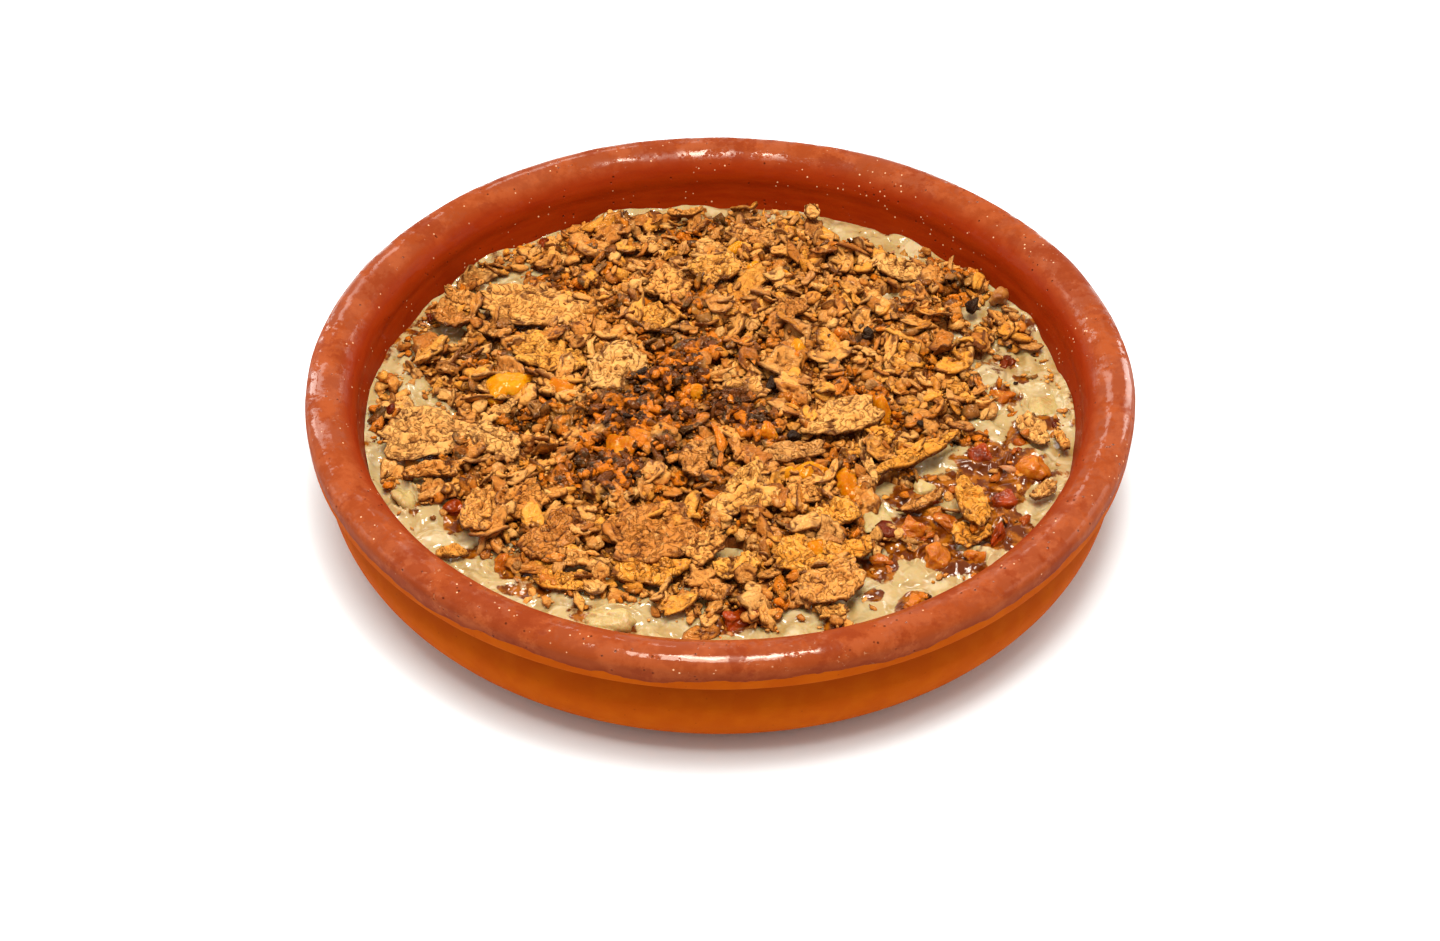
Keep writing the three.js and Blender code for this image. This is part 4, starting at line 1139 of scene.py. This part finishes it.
# The flakes that the eye picks out: length, width, x, y, lift, turn, pitch, roll and curl.
LARGE_FLAKES = [
    (22, 13.0, -57.0, -10.2, 1.6, 12, -3, 8, 0.9), (13, 5.0, -54.4, -19.0, 0.7, 8, 0, 10, 0.4),
    (23, 8.6, -38.4, 27.0, 1.5, -14, 0, 10, 1.2), (10, 3.4, -51.6, 33.0, 1.4, -36, 4, 10, 0.4),
    (9, 6.4, -54.0, 26.4, 1.2, -42, 8, 0, 1.2), (8, 4.4, -45.0, 21.4, 1.0, -25, 0, 14, 0.6),
    (13, 10.6, -22.0, 8.0, 1.2, 78, 6, 0, 0.6), (10, 8.0, -11.0, 34.4, 1.2, 60, 0, 12, 0.6),
    (9, 6.4, -13.0, 23.6, 1.0, 40, 8, 0, 0.4), (15, 9.0, -33.4, 13.0, 1.0, -12, 0, 8, 0.6),
    (9.5, 3.6, -43.6, -4.6, 1.3, 44, 0, 8, 0.6), (9.6, 8.0, -42.0, 4.0, 1.1, 20, 0, 6, 0.5),
    (9.4, 5.4, -31.6, 2.4, 1.0, -8, 0, -8, 0.6), (10.4, 5.4, 4.2, 0.4, 1.2, 15, 0, 12, 1.0),
    (9, 7.0, -5.0, -19.0, 1.1, 70, 0, 6, 0.4), (9, 6.0, 4.4, -16.0, 1.0, 80, 0, 8, 0.4),
    (10.4, 7.0, -1.0, 40.0, 1.1, 30, 0, 10, 0.6), (7, 4.6, -2.0, 48.0, 1.0, -35, 0, 8, 0.4),
    (12, 5.6, 8.0, 52.0, 1.1, -14, 0, 8, 0.8), (8, 6.4, 14.0, 26.6, 1.1, 55, 8, 0, 0.4),
    (9, 6.0, 37.6, 43.0, 0.9, -10, 0, 8, 0.4), (16, 10.0, 24.0, -7.4, 1.5, 22, 5, 0, 0.7),
    (16, 9.6, 4.2, -29.4, 1.5, 43, 0, 9, 0.7), (12, 5.0, 15.0, -16.6, 1.3, 12, 0, 6, 0.5),
    (10, 5.6, 16.0, -27.4, 0.9, 20, 0, 10, 0.4), (10, 8.6, 20.4, -34.0, 1.2, 70, 6, 0, 0.5),
    (9, 4.2, 30.4, -9.6, 1.4, -52, 0, 8, 0.6), (20, 2.9, 38.2, -15.6, 1.6, 35, 0, 0, 0.3),
    (9, 4.0, 47.4, 3.4, 1.0, -62, 0, 8, 0.4), (17, 12.0, -12.6, -39.0, 1.5, 22, 0, 6, 0.8),
    (14, 6.4, -13.0, -47.4, 0.9, -6, 0, 12, 0.5), (12, 5.6, -44.6, -31.0, 1.4, 80, 0, 12, 0.4),
    (10, 8.4, -36.4, -28.0, 1.1, -30, 0, 8, 0.4), (13, 9.0, -31.0, -37.6, 1.2, 38, 4, 0, 0.3),
    (8.4, 4.2, -27.2, -44.0, 1.0, -6, 0, 14, 0.4), (9, 5.0, -3.0, -42.6, 1.3, 45, 0, 8, 0.4),
    (13, 9.0, 20.4, -50.6, 1.6, 14, 0, 6, 0.4), (11.4, 8.0, 14.6, -44.0, 1.3, 35, 0, 10, 0.4),
    (8, 6.0, 3.4, -46.6, 1.0, 10, 0, 10, 0.4), (11, 8.4, -42.0, -13.4, 1.2, -40, 0, 5, 0.4),
    (4.4, 3.6, 19.4, 60.6, 3.0, 90, 30, 0, 0.4), (11, 4.6, -29.5, -48.0, -0.4, -20, 0, 8, 0.4),
    (6, 3.2, 20.0, -57.0, 0.0, 10, 0, 8, 0.4), (7, 6.4, 24.0, -42.0, 0.6, 0, 0, 6, 0.9),
    (13, 2.4, 28.0, -18.0, 0.9, -80, 0, 0, 0.7), (11, 3.0, 38.0, -27.0, -0.1, 30, 0, 0, 0.6),
    (7, 5.6, 47.0, -36.0, -0.3, 20, 0, 8, 0.5), (7, 5.0, -2.0, -52.0, 0.2, 0, 0, 8, 0.5),
    (5, 3.4, -22.0, 60.0, 1.0, 80, 25, 0, 0.5), (8, 3.0, -7.0, 63.0, 0.4, 10, 0, 0, 1.4),
]
LOOSE_FLAKES = [
    ("flake_1", 14, 5.4, 47.6, -29.4, 20.9, -76, 0, 0, 0.3),
    ("flake_2", 9.6, 5.0, 60.6, -5.8, 18.7, -74, 0, 4, 0.5),
    ("flake_3", 7, 2.4, 65.9, -8.6, 18.9, -80, 0, 4, 0.4),
    ("flake_4", 5.6, 3.4, 61, -24.2, 18.9, 40, 0, -4, 0.4),
    ("flake_5", 5.6, 2.2, -53.6, -23.4, 19, 8, 0, 4, 0.2),
    ("flake_6", 6, 2.4, -49.6, -40.6, 18.3, -4, 0, -4, 0.2),
]


class MASOUB_OT_large_flakes(bpy.types.Operator):
    """Lays the large flakes of toasted bread where the eye picks them out"""

    bl_idname = "masoub.large_flakes"
    bl_label = "Large flakes"

    def execute(self, context):
        long, wide, x, y, lift, turn, pitch, roll, curl = columns_of(LARGE_FLAKES, 0)
        z = heap_top(x, y) + lift + 0.45
        shape = (200, 22, 72, 0.62, 1.7, 0.85)
        rows = (long, wide, x, y, z, turn, pitch, roll, curl)
        lay_flakes(context, "large_flakes", rows, 1.25, shape, 211, 0.6, 1.0, 0.7)
        rows = columns_of(LOOSE_FLAKES, 1)
        nodes = [row[0] for row in LOOSE_FLAKES]
        shape = (307, 22, 60, 0.85, 1.9, 0.6)
        lay_flakes(context, "loose_flakes", rows, 1.15, shape, 311, 0.4, 0.6, 0.6, nodes)
        return {"FINISHED"}


def lay_flakes(context, name, rows, thick, shape, seed, paler, worm, tall, nodes=("flake_heap",)):
    """Lays flakes of one thickness at given places. Their shade is scaled by paler, and they are
    added to the height map with half height tall."""
    long, wide, x, y, z, turn, pitch, roll, curl = rows
    points, faces, pit = flake_shells(long, wide, np.full(len(long), thick), curl, *shape)
    turn, pitch, roll = np.radians(turn), np.radians(pitch), np.radians(roll)
    placed = lie_down(points, x, y, z, turn, pitch, roll)
    placed[..., 2] = np.minimum(placed[..., 2], HEAP_LIMIT_Z)
    values = bread_values(placed, pit, seed)
    values["shade"] = values["shade"] * paler
    values["worm"] = worm
    add_bread(context, name, placed, faces, values, nodes)
    GROUND.stand(x, y, 0.9 * long, 0.9 * wide, z, tall, turn)


def bread_values(placed, pit, seed, soak=0.0):
    """Shade is one number for each piece; honey depends on where each point lies. What lies low
    is soaked by a share in random places too."""
    count = len(placed)
    shade = np.repeat(hashed(np.arange(count), 3, 5, seed)[:, None], placed.shape[1], 1)
    honey = honey_share(placed[..., 0], placed[..., 1])
    centre = placed.mean(1)
    by_piece = honey_share(centre[:, 0], centre[:, 1])[:, None]
    patches = fractal(in_plane(centre[:, 0], centre[:, 1]), 6, 73, 3)[:, None]
    low = soak * smoothstep(0.05, 0.55, patches + 0.3 * shade)
    return {"shade": shade, "honey": np.maximum(0.45 * honey + 0.55 * by_piece, low), "pit": pit}


def scatter(count, seed, keep, reach=66.0):
    """Random places in the dish, each kept with the chance that keep(x, y) gives."""
    random = np.random.default_rng(seed)
    x, y = random.uniform(-reach, reach, (2, 30 * count + 400))
    chance = keep(x, y) * (np.hypot(x, y) < reach)
    chosen = random.uniform(size=x.shape) < chance
    return x[chosen][:count], y[chosen][:count], random


def on_heap(x, y):
    """1 well inside the heap and outside the bare patches, falling off in ragged edges."""
    share = heap_share(x, y) * (1 + 0.12 * fractal(in_plane(x, y), 7, 79, 2))
    return smoothstep(1.18, 1.0, share) * (1 - smoothstep(0.0, 0.7, bareness(x, y)))


def off_large(x, y, rest=0.0):
    """Falls to a small share on the large flakes, so that they stay clear."""
    clear = np.ones(np.shape(x))
    rows = [(*row[:4], row[5]) for row in LARGE_FLAKES]
    rows += [(*row[1:5], row[6]) for row in LOOSE_FLAKES]
    for long, wide, px, py, turn in rows:
        out = np.hypot(*oval(x, y, px, py, long, wide, math.radians(turn)))
        clear = np.minimum(clear, rest + (1 - rest) * smoothstep(0.72, 1.02, out))
    return clear


def off_fruit(x, y):
    """0 over fruit and nuts, and round raisins too, which lie open on the heap; 1 elsewhere."""
    clear = np.ones(np.shape(x))
    for table, far in ((DATES + APRICOTS + BANANAS, 1.1), (NUTS, 1.3), (RAISINS, 2.2)):
        for _, long, wide, _, px, py, _, turn, _ in table:
            out = np.hypot(*oval(x, y, px, py, long, wide, math.radians(turn)))
            clear = np.minimum(clear, smoothstep(far - 0.3, far, out))
    return clear


def hollows(x, y):
    """1 where the ground lies below its surroundings and 0 where it stands above them."""
    mean = GROUND.z.copy()
    for axis in (0, 1, 0, 1):
        mean = sum(np.roll(mean, shift, axis) for shift in range(-5, 6)) / 11
    i, j = GROUND.cell(x, y)
    return smoothstep(0.5, -0.5, GROUND.z[i, j] - mean[i, j])


def strew_flakes(context, name, count, seed, size, keep, rings, columns, lump, tilt):
    """Strews torn flakes of one size range. Each follows the slope below it, tilted at random."""
    x, y, random = scatter(count, seed, keep, 66.5)
    count = len(x)
    long = size[0] + (size[1] - size[0]) * random.random(count) ** 1.5
    wide = long * random.uniform(0.4, 0.85, count)
    thick = np.minimum(random.uniform(0.75, 1.3, count), 0.3 * long)
    turn = random.uniform(0, TURN, count)
    curl = random.uniform(-0.1, 0.17, count) * long
    z, pitch, roll = GROUND.settle_all(x, y, long, wide, 0.9 * thick, turn, 0.7, 0.5)
    shells = flake_shells(long, wide, thick, curl, seed + 20, rings, columns, lump)
    points, faces, pit = shells
    pitch = pitch + random.normal(0, tilt, count)
    roll = roll + random.normal(0, 1.3 * tilt, count)
    z = np.minimum(z + 0.4 * thick, HEAP_LIMIT_Z - 1.2)
    placed = lie_down(points, x, y, z, turn, pitch, roll)
    placed[..., 2] = np.minimum(placed[..., 2], HEAP_LIMIT_Z + 0.6)
    values = bread_values(placed, pit, seed + 31, 0.5 if size[1] < 6 else 0.3)
    add_bread(context, name, placed, faces, values)


def lump_shells(variants, seed, rings=6, columns=8, softness=0.0):
    """Broken lumps: a ball cut by random planes, so that the reach in each direction is the least
    of plane distance over the cosine to it, or a rounded least where softness is above 0. It is
    then dented in random directions and roughened by noise."""
    rise = np.linspace(0, math.pi, rings + 2)[1:-1, None]
    turn = np.linspace(0, TURN, columns, endpoint=False)
    ball = in_plane(np.sin(rise) * np.cos(turn), np.sin(rise) * np.sin(turn), -np.cos(rise))
    ball = shell_points(ball, np.array([0, 0, -1.0]), np.array([0, 0, 1.0]))
    random = np.random.default_rng(seed)
    normals = unit(random.normal(size=(variants, 9, 3)))
    distance = random.uniform(0.5, 1.0, (variants, 9))
    facing = np.einsum("vd,nkd->nkv", ball, normals)
    planes = distance[..., None] / np.maximum(facing, 0.12)
    reach = np.minimum(np.min(planes, axis=1), 1.25)
    if softness:
        planes = np.concatenate([planes, np.full_like(planes[:, :1], 1.25)], 1)
        reach = np.sum(planes ** (-1 / softness), axis=1) ** -softness
    dents = unit(random.normal(size=(variants, 5, 3)))
    nearness = np.einsum("vd,nkd->nkv", ball, dents)
    reach = reach * (1 - 0.4 * smoothstep(0.6, 1.0, nearness).max(1))
    sample = ball[None] * 1.6 + 7.7 * np.arange(variants)[:, None, None]
    reach = reach * (1 + 0.2 * value_noise(sample, seed) + 0.12 * value_noise(sample * 2, seed + 1))
    return ball[None] * reach[..., None], shell_faces(rings, columns)


def strew_lumps(
    context, name, count, seed, size, keep, shape, slim=(0.5, 0.95), flat=0.55, bend=0.0
):
    """Strews broken lumps of one size range: turned at random, flattened, following the slope
    below and sunk a little into it. A bend makes curved sticks of narrow ones."""
    x, y, random = scatter(count, seed, keep, 67.6)
    count = len(x)
    long = size[0] + (size[1] - size[0]) * random.random(count) ** 1.6
    wide = long * random.uniform(*slim, count)
    tall = np.minimum(long * random.uniform(flat * 0.7, flat * 1.3, count), wide)
    turn = random.uniform(0, TURN, count)
    z, pitch, roll = GROUND.settle_all(x, y, long, wide, 0.75 * tall, turn, 0.6, 0.5)
    z = np.minimum(z + 0.3 * tall, HEAP_LIMIT_Z - tall / 2)
    kinds, faces = lump_shells(48, seed + 9, *shape)
    points = kinds[random.integers(0, len(kinds), count)]
    curve = bend * random.uniform(0.4, 1.4, count)[:, None] * points[..., 0] ** 2
    points = points * np.stack([long, wide, tall], -1)[:, None] / 2
    points[..., 1] += curve * long[:, None] / 2
    points[..., 2] -= 0.4 * curve * long[:, None] / 2
    pitch = pitch + random.normal(0, 0.25, count)
    roll = roll + random.normal(0, 0.35, count)
    placed = lie_down(points, x, y, z, turn, pitch, roll)
    _, crease = billow(placed, 2.2, seed + 3)
    # Painted shade: darker in the creases and on the lower part of each lump.
    depth = (z[:, None] - placed[..., 2]) / tall[:, None]
    pit = np.clip(0.3 * crease + 0.9 * smoothstep(-0.1, 0.6, depth), 0, 1)
    add_bread(context, name, placed, faces, bread_values(placed, pit, seed + 5, 0.6))


def thinly(x, y):
    """Chance of a crumb on the open cream outside the heap: common at the upper right, rare at
    the lower left, never up on the wall."""
    upper_right = smoothstep(-10, 40, x + y) * smoothstep(-20, 30, y)
    left = smoothstep(-40, -52, x) * smoothstep(-26, -12, y)
    chance = 0.07 + 0.8 * np.maximum(upper_right, left)
    return chance * smoothstep(68.4, 66.6, np.hypot(x, y))


def in_heap(x, y):
    """Chance of a flake or lump: the heap, or a third of thinly, clear of flakes and fruit."""
    spread = np.maximum(on_heap(x, y), 0.35 * thinly(x, y) * (1 - bareness(x, y)))
    return spread * off_large(x, y) * off_fruit(x, y)


def in_gaps(x, y):
    """Chance of a crumb: as in_heap, but ten times as high in hollows as on what stands proud."""
    bare = 1 - 0.85 * bareness(x, y)
    spread = np.maximum(on_heap(x, y), thinly(x, y) * bare)
    return spread * off_large(x, y, 0.06) * off_fruit(x, y) * (0.1 + 0.9 * hollows(x, y))


def in_honey(x, y):
    """Chance of a honey crumb: where much dark honey has soaked in."""
    return smoothstep(0.25, 0.9, honey_share(x, y)) * off_large(x, y, 0.2) * off_fruit(x, y)


class MASOUB_OT_medium_flakes(bpy.types.Operator):
    """Strews the flakes of 4 to 9 mm and the shards of 2 to 5 mm over the heap"""

    bl_idname = "masoub.medium_flakes"
    bl_label = "Medium flakes"

    def execute(self, context):
        bread = context.scene.masoub_bread
        for name, count, seed, size, *look in (
            ("bread_shards", bread.shards, 451, (2.3, 5.0), in_heap, 4, 12, 0.26, 0.42),
            ("medium_flakes", bread.medium_flakes, 401, (4.2, 8.6), in_heap, 6, 20, 0.42, 0.34),
        ):
            strew_flakes(context, name, count, seed, size, *look)
        return {"FINISHED"}


class MASOUB_OT_lumps(bpy.types.Operator):
    """Strews the lumps and the crumbs that fill the heap below the flakes"""

    bl_idname = "masoub.lumps"
    bl_label = "Lumps and crumbs"

    def execute(self, context):
        bread = context.scene.masoub_bread
        strew_lumps(context, "bread_crumbs", bread.crumbs, 521, (1.2, 2.6), in_gaps, (4, 7))
        strew_lumps(
            context, "bread_lumps", bread.lumps, 501, (2.2, 4.8), in_heap, (6, 8), flat=0.5
        )
        return {"FINISHED"}


class MASOUB_OT_crumbs(bpy.types.Operator):
    """Strews the last sticks and fine crumbs, which lie on top"""

    bl_idname = "masoub.crumbs"
    bl_label = "Sticks and fine crumbs"

    def execute(self, context):
        bread = context.scene.masoub_bread
        curved = {"slim": (0.2, 0.36), "flat": 0.25, "bend": 0.5}
        size, shape = (3.6, 7.5), (7, 6)
        strew_lumps(context, "bread_sticks", bread.sticks, 561, size, in_heap, shape, **curved)
        strew_lumps(context, "honey_crumbs", bread.soaked_crumbs, 581, (1.8, 4.8), in_honey, (5, 7))
        strew_lumps(context, "fine_crumbs", bread.dust, 541, (0.5, 1.4), in_gaps, (2, 5))
        return {"FINISHED"}


# ---- Small things in the cream -------------------------------------------------------------
def in_mix(x, y):
    """Chance of a small sunk bit: high where the syrup has run, low elsewhere in open cream."""
    open_cream = np.maximum(smoothstep(0.9, 1.05, heap_share(x, y)), bareness(x, y))
    near_right = 0.12 + 0.2 * smoothstep(20, 60, x) * smoothstep(40, 0, y)
    chance = np.maximum(spots_share(x, y, SYRUP, 55), near_right)
    return chance * open_cream * off_fruit(x, y) * smoothstep(68, 66, np.hypot(x, y))


def sunk_lumps(count, seed, size, lift, flat):
    """Broken lumps half sunk in the cream at random places, lifted by a share of their height.
    Returns them with their faces and a random number for each piece."""
    x, y, random = scatter(count, seed, in_mix, 67.5)
    count = len(x)
    long = size[0] + (size[1] - size[0]) * random.random(count) ** 1.5
    wide = long * random.uniform(0.5, 0.95, count)
    tall = np.minimum(long * flat * random.uniform(0.7, 1.2, count), wide)
    kinds, faces = lump_shells(48, seed + 9, 6, 8)
    points = kinds[random.integers(0, len(kinds), count)]
    points = points * np.stack([long, wide, tall], -1)[:, None] / 2
    z = np.minimum(GROUND.z[GROUND.cell(x, y)] + lift * tall, CREAM_LEVEL + 2.5)
    turn = random.uniform(0, TURN, count)
    pitch, roll = random.normal(0, 0.3, (2, count))
    placed = lie_down(points, x, y, z, turn, pitch, roll)
    return placed, faces, random.random(count)[:, None] + np.zeros(placed.shape[1])


def bits_of_fruit():
    """Wet fruit from dark date through amber to pale peach, by the value of shade."""
    f = Finish("fruit_bits")
    shade = f.attribute("shade") + (f.noise(1.8, 3.0) - 0.5) * 0.4
    stops = [
        (0.0, (0.1, 0.008, 0.002)),
        (0.3, (0.27, 0.035, 0.003)),
        (0.45, (0.42, 0.09, 0.006)),
        (0.8, (0.52, 0.16, 0.018)),
        (1.0, (0.54, 0.25, 0.12)),
    ]
    return f.surface(
        Base_Color=f.value(f.node("ShaderNodeValToRGB", {"stops": stops}, Fac=shade)),
        Roughness=0.12 + f.noise(2) * 0.12,
        Normal=f.bump(f.noise(1.1, 4.0, 0.6, 0.5), 0.35),
        Subsurface_Weight=0.35,
        Subsurface_Radius=(1.0, 0.35, 0.12),
        Subsurface_Scale=0.0014,
        Specular_IOR_Level=0.35,
        Specular_Tint=WARM_GLOSS,
    )


class MASOUB_OT_sunk_bits(bpy.types.Operator):
    """Adds the small bits of fruit, the soaked crumbs and the black bits between larger pieces"""

    bl_idname = "masoub.sunk_bits"
    bl_label = "Small things in the cream"

    def execute(self, context):
        placed, faces, shade = sunk_lumps(60, 601, (1.8, 4.6), -0.1, 0.55)
        bits = bits_of_fruit()
        add_piece("fruit_bits", placed, faces, bits, (), {"shade": shade})
        placed, faces, shade = sunk_lumps(90, 611, (1.2, 3.4), 0.0, 0.5)
        values = {"shade": shade, "honey": 0.25 + 0.5 * shade, "pit": 0.15 + 0 * shade}
        add_bread(context, "soaked_crumbs", placed, faces, values, ())
        points, faces = morsels(BLACK_BITS, 0.2, 0.12, 90, 7, 9)
        x, y = points.mean(1)[:, 0], points.mean(1)[:, 1]
        points[..., 2] += GROUND.z[GROUND.cell(x, y)][:, None] + 0.3
        finish = bpy.data.objects["raisins"].data.materials[0]
        add_piece("black_bits", points, faces, finish, ())
        return {"FINISHED"}


# ---- Honey ---------------------------------------------------------------------------------
# Glossy pools and strips: length, width, height, x, y, turn in degrees and how dark.
HONEY_POOLS = [
    (10.0, 8.0, 1.6, -42.0, 4.2, 15, 0.15), (11.0, 3.4, 1.6, 15.6, -22.0, 28, 0.3),
    (4.0, 3.0, 1.1, 2.8, 49.6, -20, 0.2), (3.2, 2.2, 0.9, 6.4, 43.0, 10, 0.3),
    (2.6, 1.8, 0.8, 13.0, 40.0, 0, 0.4), (4.6, 3.6, 1.4, 18.0, -42.6, 20, 0.4),
    (4.2, 5.0, 1.6, 14.6, 15.6, 40, 0.3), (3.0, 2.8, 1.4, -4.6, 0.2, 0, 0.4),
    (6.0, 3.2, 1.6, 31.2, -2.4, -60, 0.5), (4.0, 4.0, 1.6, 9.4, -11.6, 0, 0.6),
    (7.0, 4.6, 1.3, 24.0, -24.0, -70, 0.5), (7.0, 5.4, 1.6, -19.4, -15.4, 30, 0.6),
    (5.0, 3.4, 1.2, -31.0, 2.8, -8, 0.55),
]


def draped_pools(rings, columns):
    """Pools of honey: a torn oval whose top follows the smoothed ground, raised by its height x
    (1 - share cubed), closed by a bottom one millimetre below the ground."""
    long, wide, tall, px, py, turn, _ = [v[:, None, None] for v in columns_of(HONEY_POOLS, 0)]
    ground = GROUND.z.copy()
    for axis in (0, 1):
        ground = sum(np.roll(ground, shift, axis) for shift in (-2, -1, 0, 1, 2)) / 5
    around = np.linspace(0, TURN, columns, endpoint=False)
    share = np.linspace(1, 0.04, rings)[:, None]
    circle = in_plane(np.cos(around), np.sin(around)) + 5.3 * np.arange(len(long))[:, None, None]
    torn = 1 + 0.35 * value_noise(circle * 1.2, 93) + 0.2 * value_noise(circle * 3, 94)
    u = share * np.cos(around) * torn[:, None] * long / 2
    v = share * np.sin(around) * torn[:, None] * wide / 2
    c, s = np.cos(np.radians(turn)), np.sin(np.radians(turn))
    x, y = px + c * u - s * v, py + s * u + c * v
    z = ground[GROUND.cell(x, y)] + 0.3 + tall * (0.75 * (1 - share**3) - 0.3)
    under = in_plane(x[:, :1], y[:, :1], z[:, :1] - 1.0)
    points = np.concatenate([under, in_plane(x, y, z)], 1)
    low, top = under.mean((1, 2)), points[:, -1].mean(1)
    return shell_points(points, low, top), shell_faces(rings + 1, columns)


def honey_glaze(settings):
    """Clear amber honey over bread: saturated, smooth and very glossy."""
    f = Finish("honey_glaze")
    dark = f.attribute("dark")
    light = f.noise(1.8, 3.0).step(0.45, 0.7)
    tone = f.blend(dark.step(0.1, 0.7), settings.honey, (0.5, 0.11, 0.0))
    return f.surface(
        Base_Color=f.blend(light * 0.4, tone, (0.8, 0.38, 0.02)),
        Roughness=0.07 + f.noise(2) * 0.06,
        Normal=f.bump(f.noise(2.4, 3.0), 0.7),
        Subsurface_Weight=0.4,
        Subsurface_Radius=(1.0, 0.4, 0.08),
        Subsurface_Scale=0.002,
        Specular_IOR_Level=0.4,
        Specular_Tint=WARM_GLOSS,
    )


class MASOUB_OT_honey(bpy.types.Operator):
    """Pours the pools and strips of honey that shine on the bread"""

    bl_idname = "masoub.honey"
    bl_label = "Honey"

    def execute(self, context):
        points, faces = draped_pools(12, 32)
        dark = columns_of(HONEY_POOLS, 0)[-1]
        values = {"dark": np.repeat(dark[:, None], points.shape[1], 1)}
        finish = honey_glaze(context.scene.masoub_fruit)
        add_piece("honey_pools", points, faces, finish, (), values)
        return {"FINISHED"}


# ---- Stage ---------------------------------------------------------------------------------
def aim(thing, place, target):
    """Puts a light or the camera at a place, in metres, looking at a target."""
    thing.location = place
    thing.rotation_euler = (Vector(target) - Vector(place)).to_track_quat("-Z", "Y").to_euler()


def soft_light(name, power, size, place):
    """Adds a white rectangular light, its sides and its place in metres, aimed at the food."""
    data = bpy.data.lights.new(name, "AREA")
    data.shape = "RECTANGLE"
    data.size, data.size_y = size
    data.energy = power
    lamp = bpy.data.objects.new(name, data)
    bpy.context.scene.collection.objects.link(lamp)
    aim(lamp, place, (0.0, 0.0, 0.02))


class MASOUB_OT_stage(bpy.types.Operator):
    """Sets the white floor, the soft lights and the camera"""

    bl_idname = "masoub.stage"
    bl_label = "Stage"

    def execute(self, context):
        settings = context.scene.masoub_light
        scene = context.scene
        scene.view_settings.view_transform = "Standard"
        scene.view_settings.look = "None"
        world = bpy.data.worlds.new("surround")
        world.use_nodes = True
        background = world.node_tree.nodes["Background"]
        background.inputs["Color"].default_value = (1.0, 0.95, 0.9, 1.0)
        background.inputs["Strength"].default_value = settings.sky
        scene.world = world
        floor = bpy.data.meshes.new("floor")
        half = 6.0
        corners = [(-half, -half, 0), (half, -half, 0), (half, half, 0), (-half, half, 0)]
        floor.from_pydata(corners, [], [(0, 1, 2, 3)])
        f = Finish("white_table")
        white = {"Base_Color": (0.9, 0.97, 0.97, 1.0), "Roughness": 0.9 + f.noise(40) * 0.05}
        floor.materials.append(f.surface(**white))
        table = bpy.data.objects.new("floor", floor)
        scene.collection.objects.link(table)
        for light in (
            ("back_window", settings.window, (0.9, 0.22), (-0.45, 0.92, 0.72)),
            ("left_window", settings.side, (0.34, 0.56), (-0.8, 0.9, 0.34)),
            ("right_window", settings.side, (0.34, 0.56), (0.8, 0.9, 0.34)),
            ("overhead", settings.overhead, (0.5, 0.5), (-0.03, -0.25, 1.1)),
            ("lamp", settings.lamp, (0.24, 0.34), (0.06, -0.07, 1.06)),
            ("left_fill", settings.fill, (0.8, 0.5), (-0.98, 0.0, 0.32)),
            ("right_fill", settings.fill, (0.8, 0.5), (0.98, 0.0, 0.32)),
        ):
            soft_light(*light)
        data = bpy.data.cameras.new("camera")
        data.lens = 77.75
        data.sensor_width = 36.0
        data.sensor_fit = "HORIZONTAL"
        data.clip_end = 30.0
        camera = bpy.data.objects.new("camera", data)
        scene.collection.objects.link(camera)
        rise = math.radians(CAMERA_RISE)
        x, y, z = CAMERA_TARGET
        place = (x, y - CAMERA_DISTANCE * math.cos(rise), z + CAMERA_DISTANCE * math.sin(rise))
        aim(camera, place, CAMERA_TARGET)
        scene.camera = camera
        return {"FINISHED"}


# ---- Panel and registration ----------------------------------------------------------------
OPERATORS = [
    MASOUB_OT_dish,
    MASOUB_OT_cream,
    MASOUB_OT_fruit,
    MASOUB_OT_bed,
    MASOUB_OT_lumps,
    MASOUB_OT_large_flakes,
    MASOUB_OT_medium_flakes,
    MASOUB_OT_crumbs,
    MASOUB_OT_sunk_bits,
    MASOUB_OT_honey,
    MASOUB_OT_stage,
]
SETTINGS = {
    "masoub_dish": DishSettings,
    "masoub_cream": CreamSettings,
    "masoub_bread": BreadSettings,
    "masoub_fruit": FruitSettings,
    "masoub_light": LightSettings,
}


class MASOUB_PT_panel(bpy.types.Panel):
    """Lists the steps that dress the dish"""

    bl_idname = "MASOUB_PT_panel"
    bl_label = "Masoub"
    bl_space_type = "VIEW_3D"
    bl_region_type = "UI"
    bl_category = "Masoub"

    def draw(self, context):
        for operator in OPERATORS:
            self.layout.operator(operator.bl_idname)
        for name, group in SETTINGS.items():
            box = self.layout.box()
            for key in group.__annotations__:
                box.prop(getattr(context.scene, name), key)


def register():
    """Registers the classes and puts the settings on the scene."""
    for made in [*SETTINGS.values(), *OPERATORS, MASOUB_PT_panel]:
        bpy.utils.register_class(made)
    for name, group in SETTINGS.items():
        setattr(bpy.types.Scene, name, bpy.props.PointerProperty(type=group))


def unregister():
    """Takes back what register did, in reverse."""
    for name in SETTINGS:
        delattr(bpy.types.Scene, name)
    for made in [MASOUB_PT_panel, *OPERATORS[::-1], *SETTINGS.values()]:
        bpy.utils.unregister_class(made)


def main():
    """Runs every operator in order."""
    register()
    for operator in OPERATORS:
        getattr(bpy.ops.masoub, operator.bl_idname.split(".")[1])()


if __name__ == "__main__":
    main()
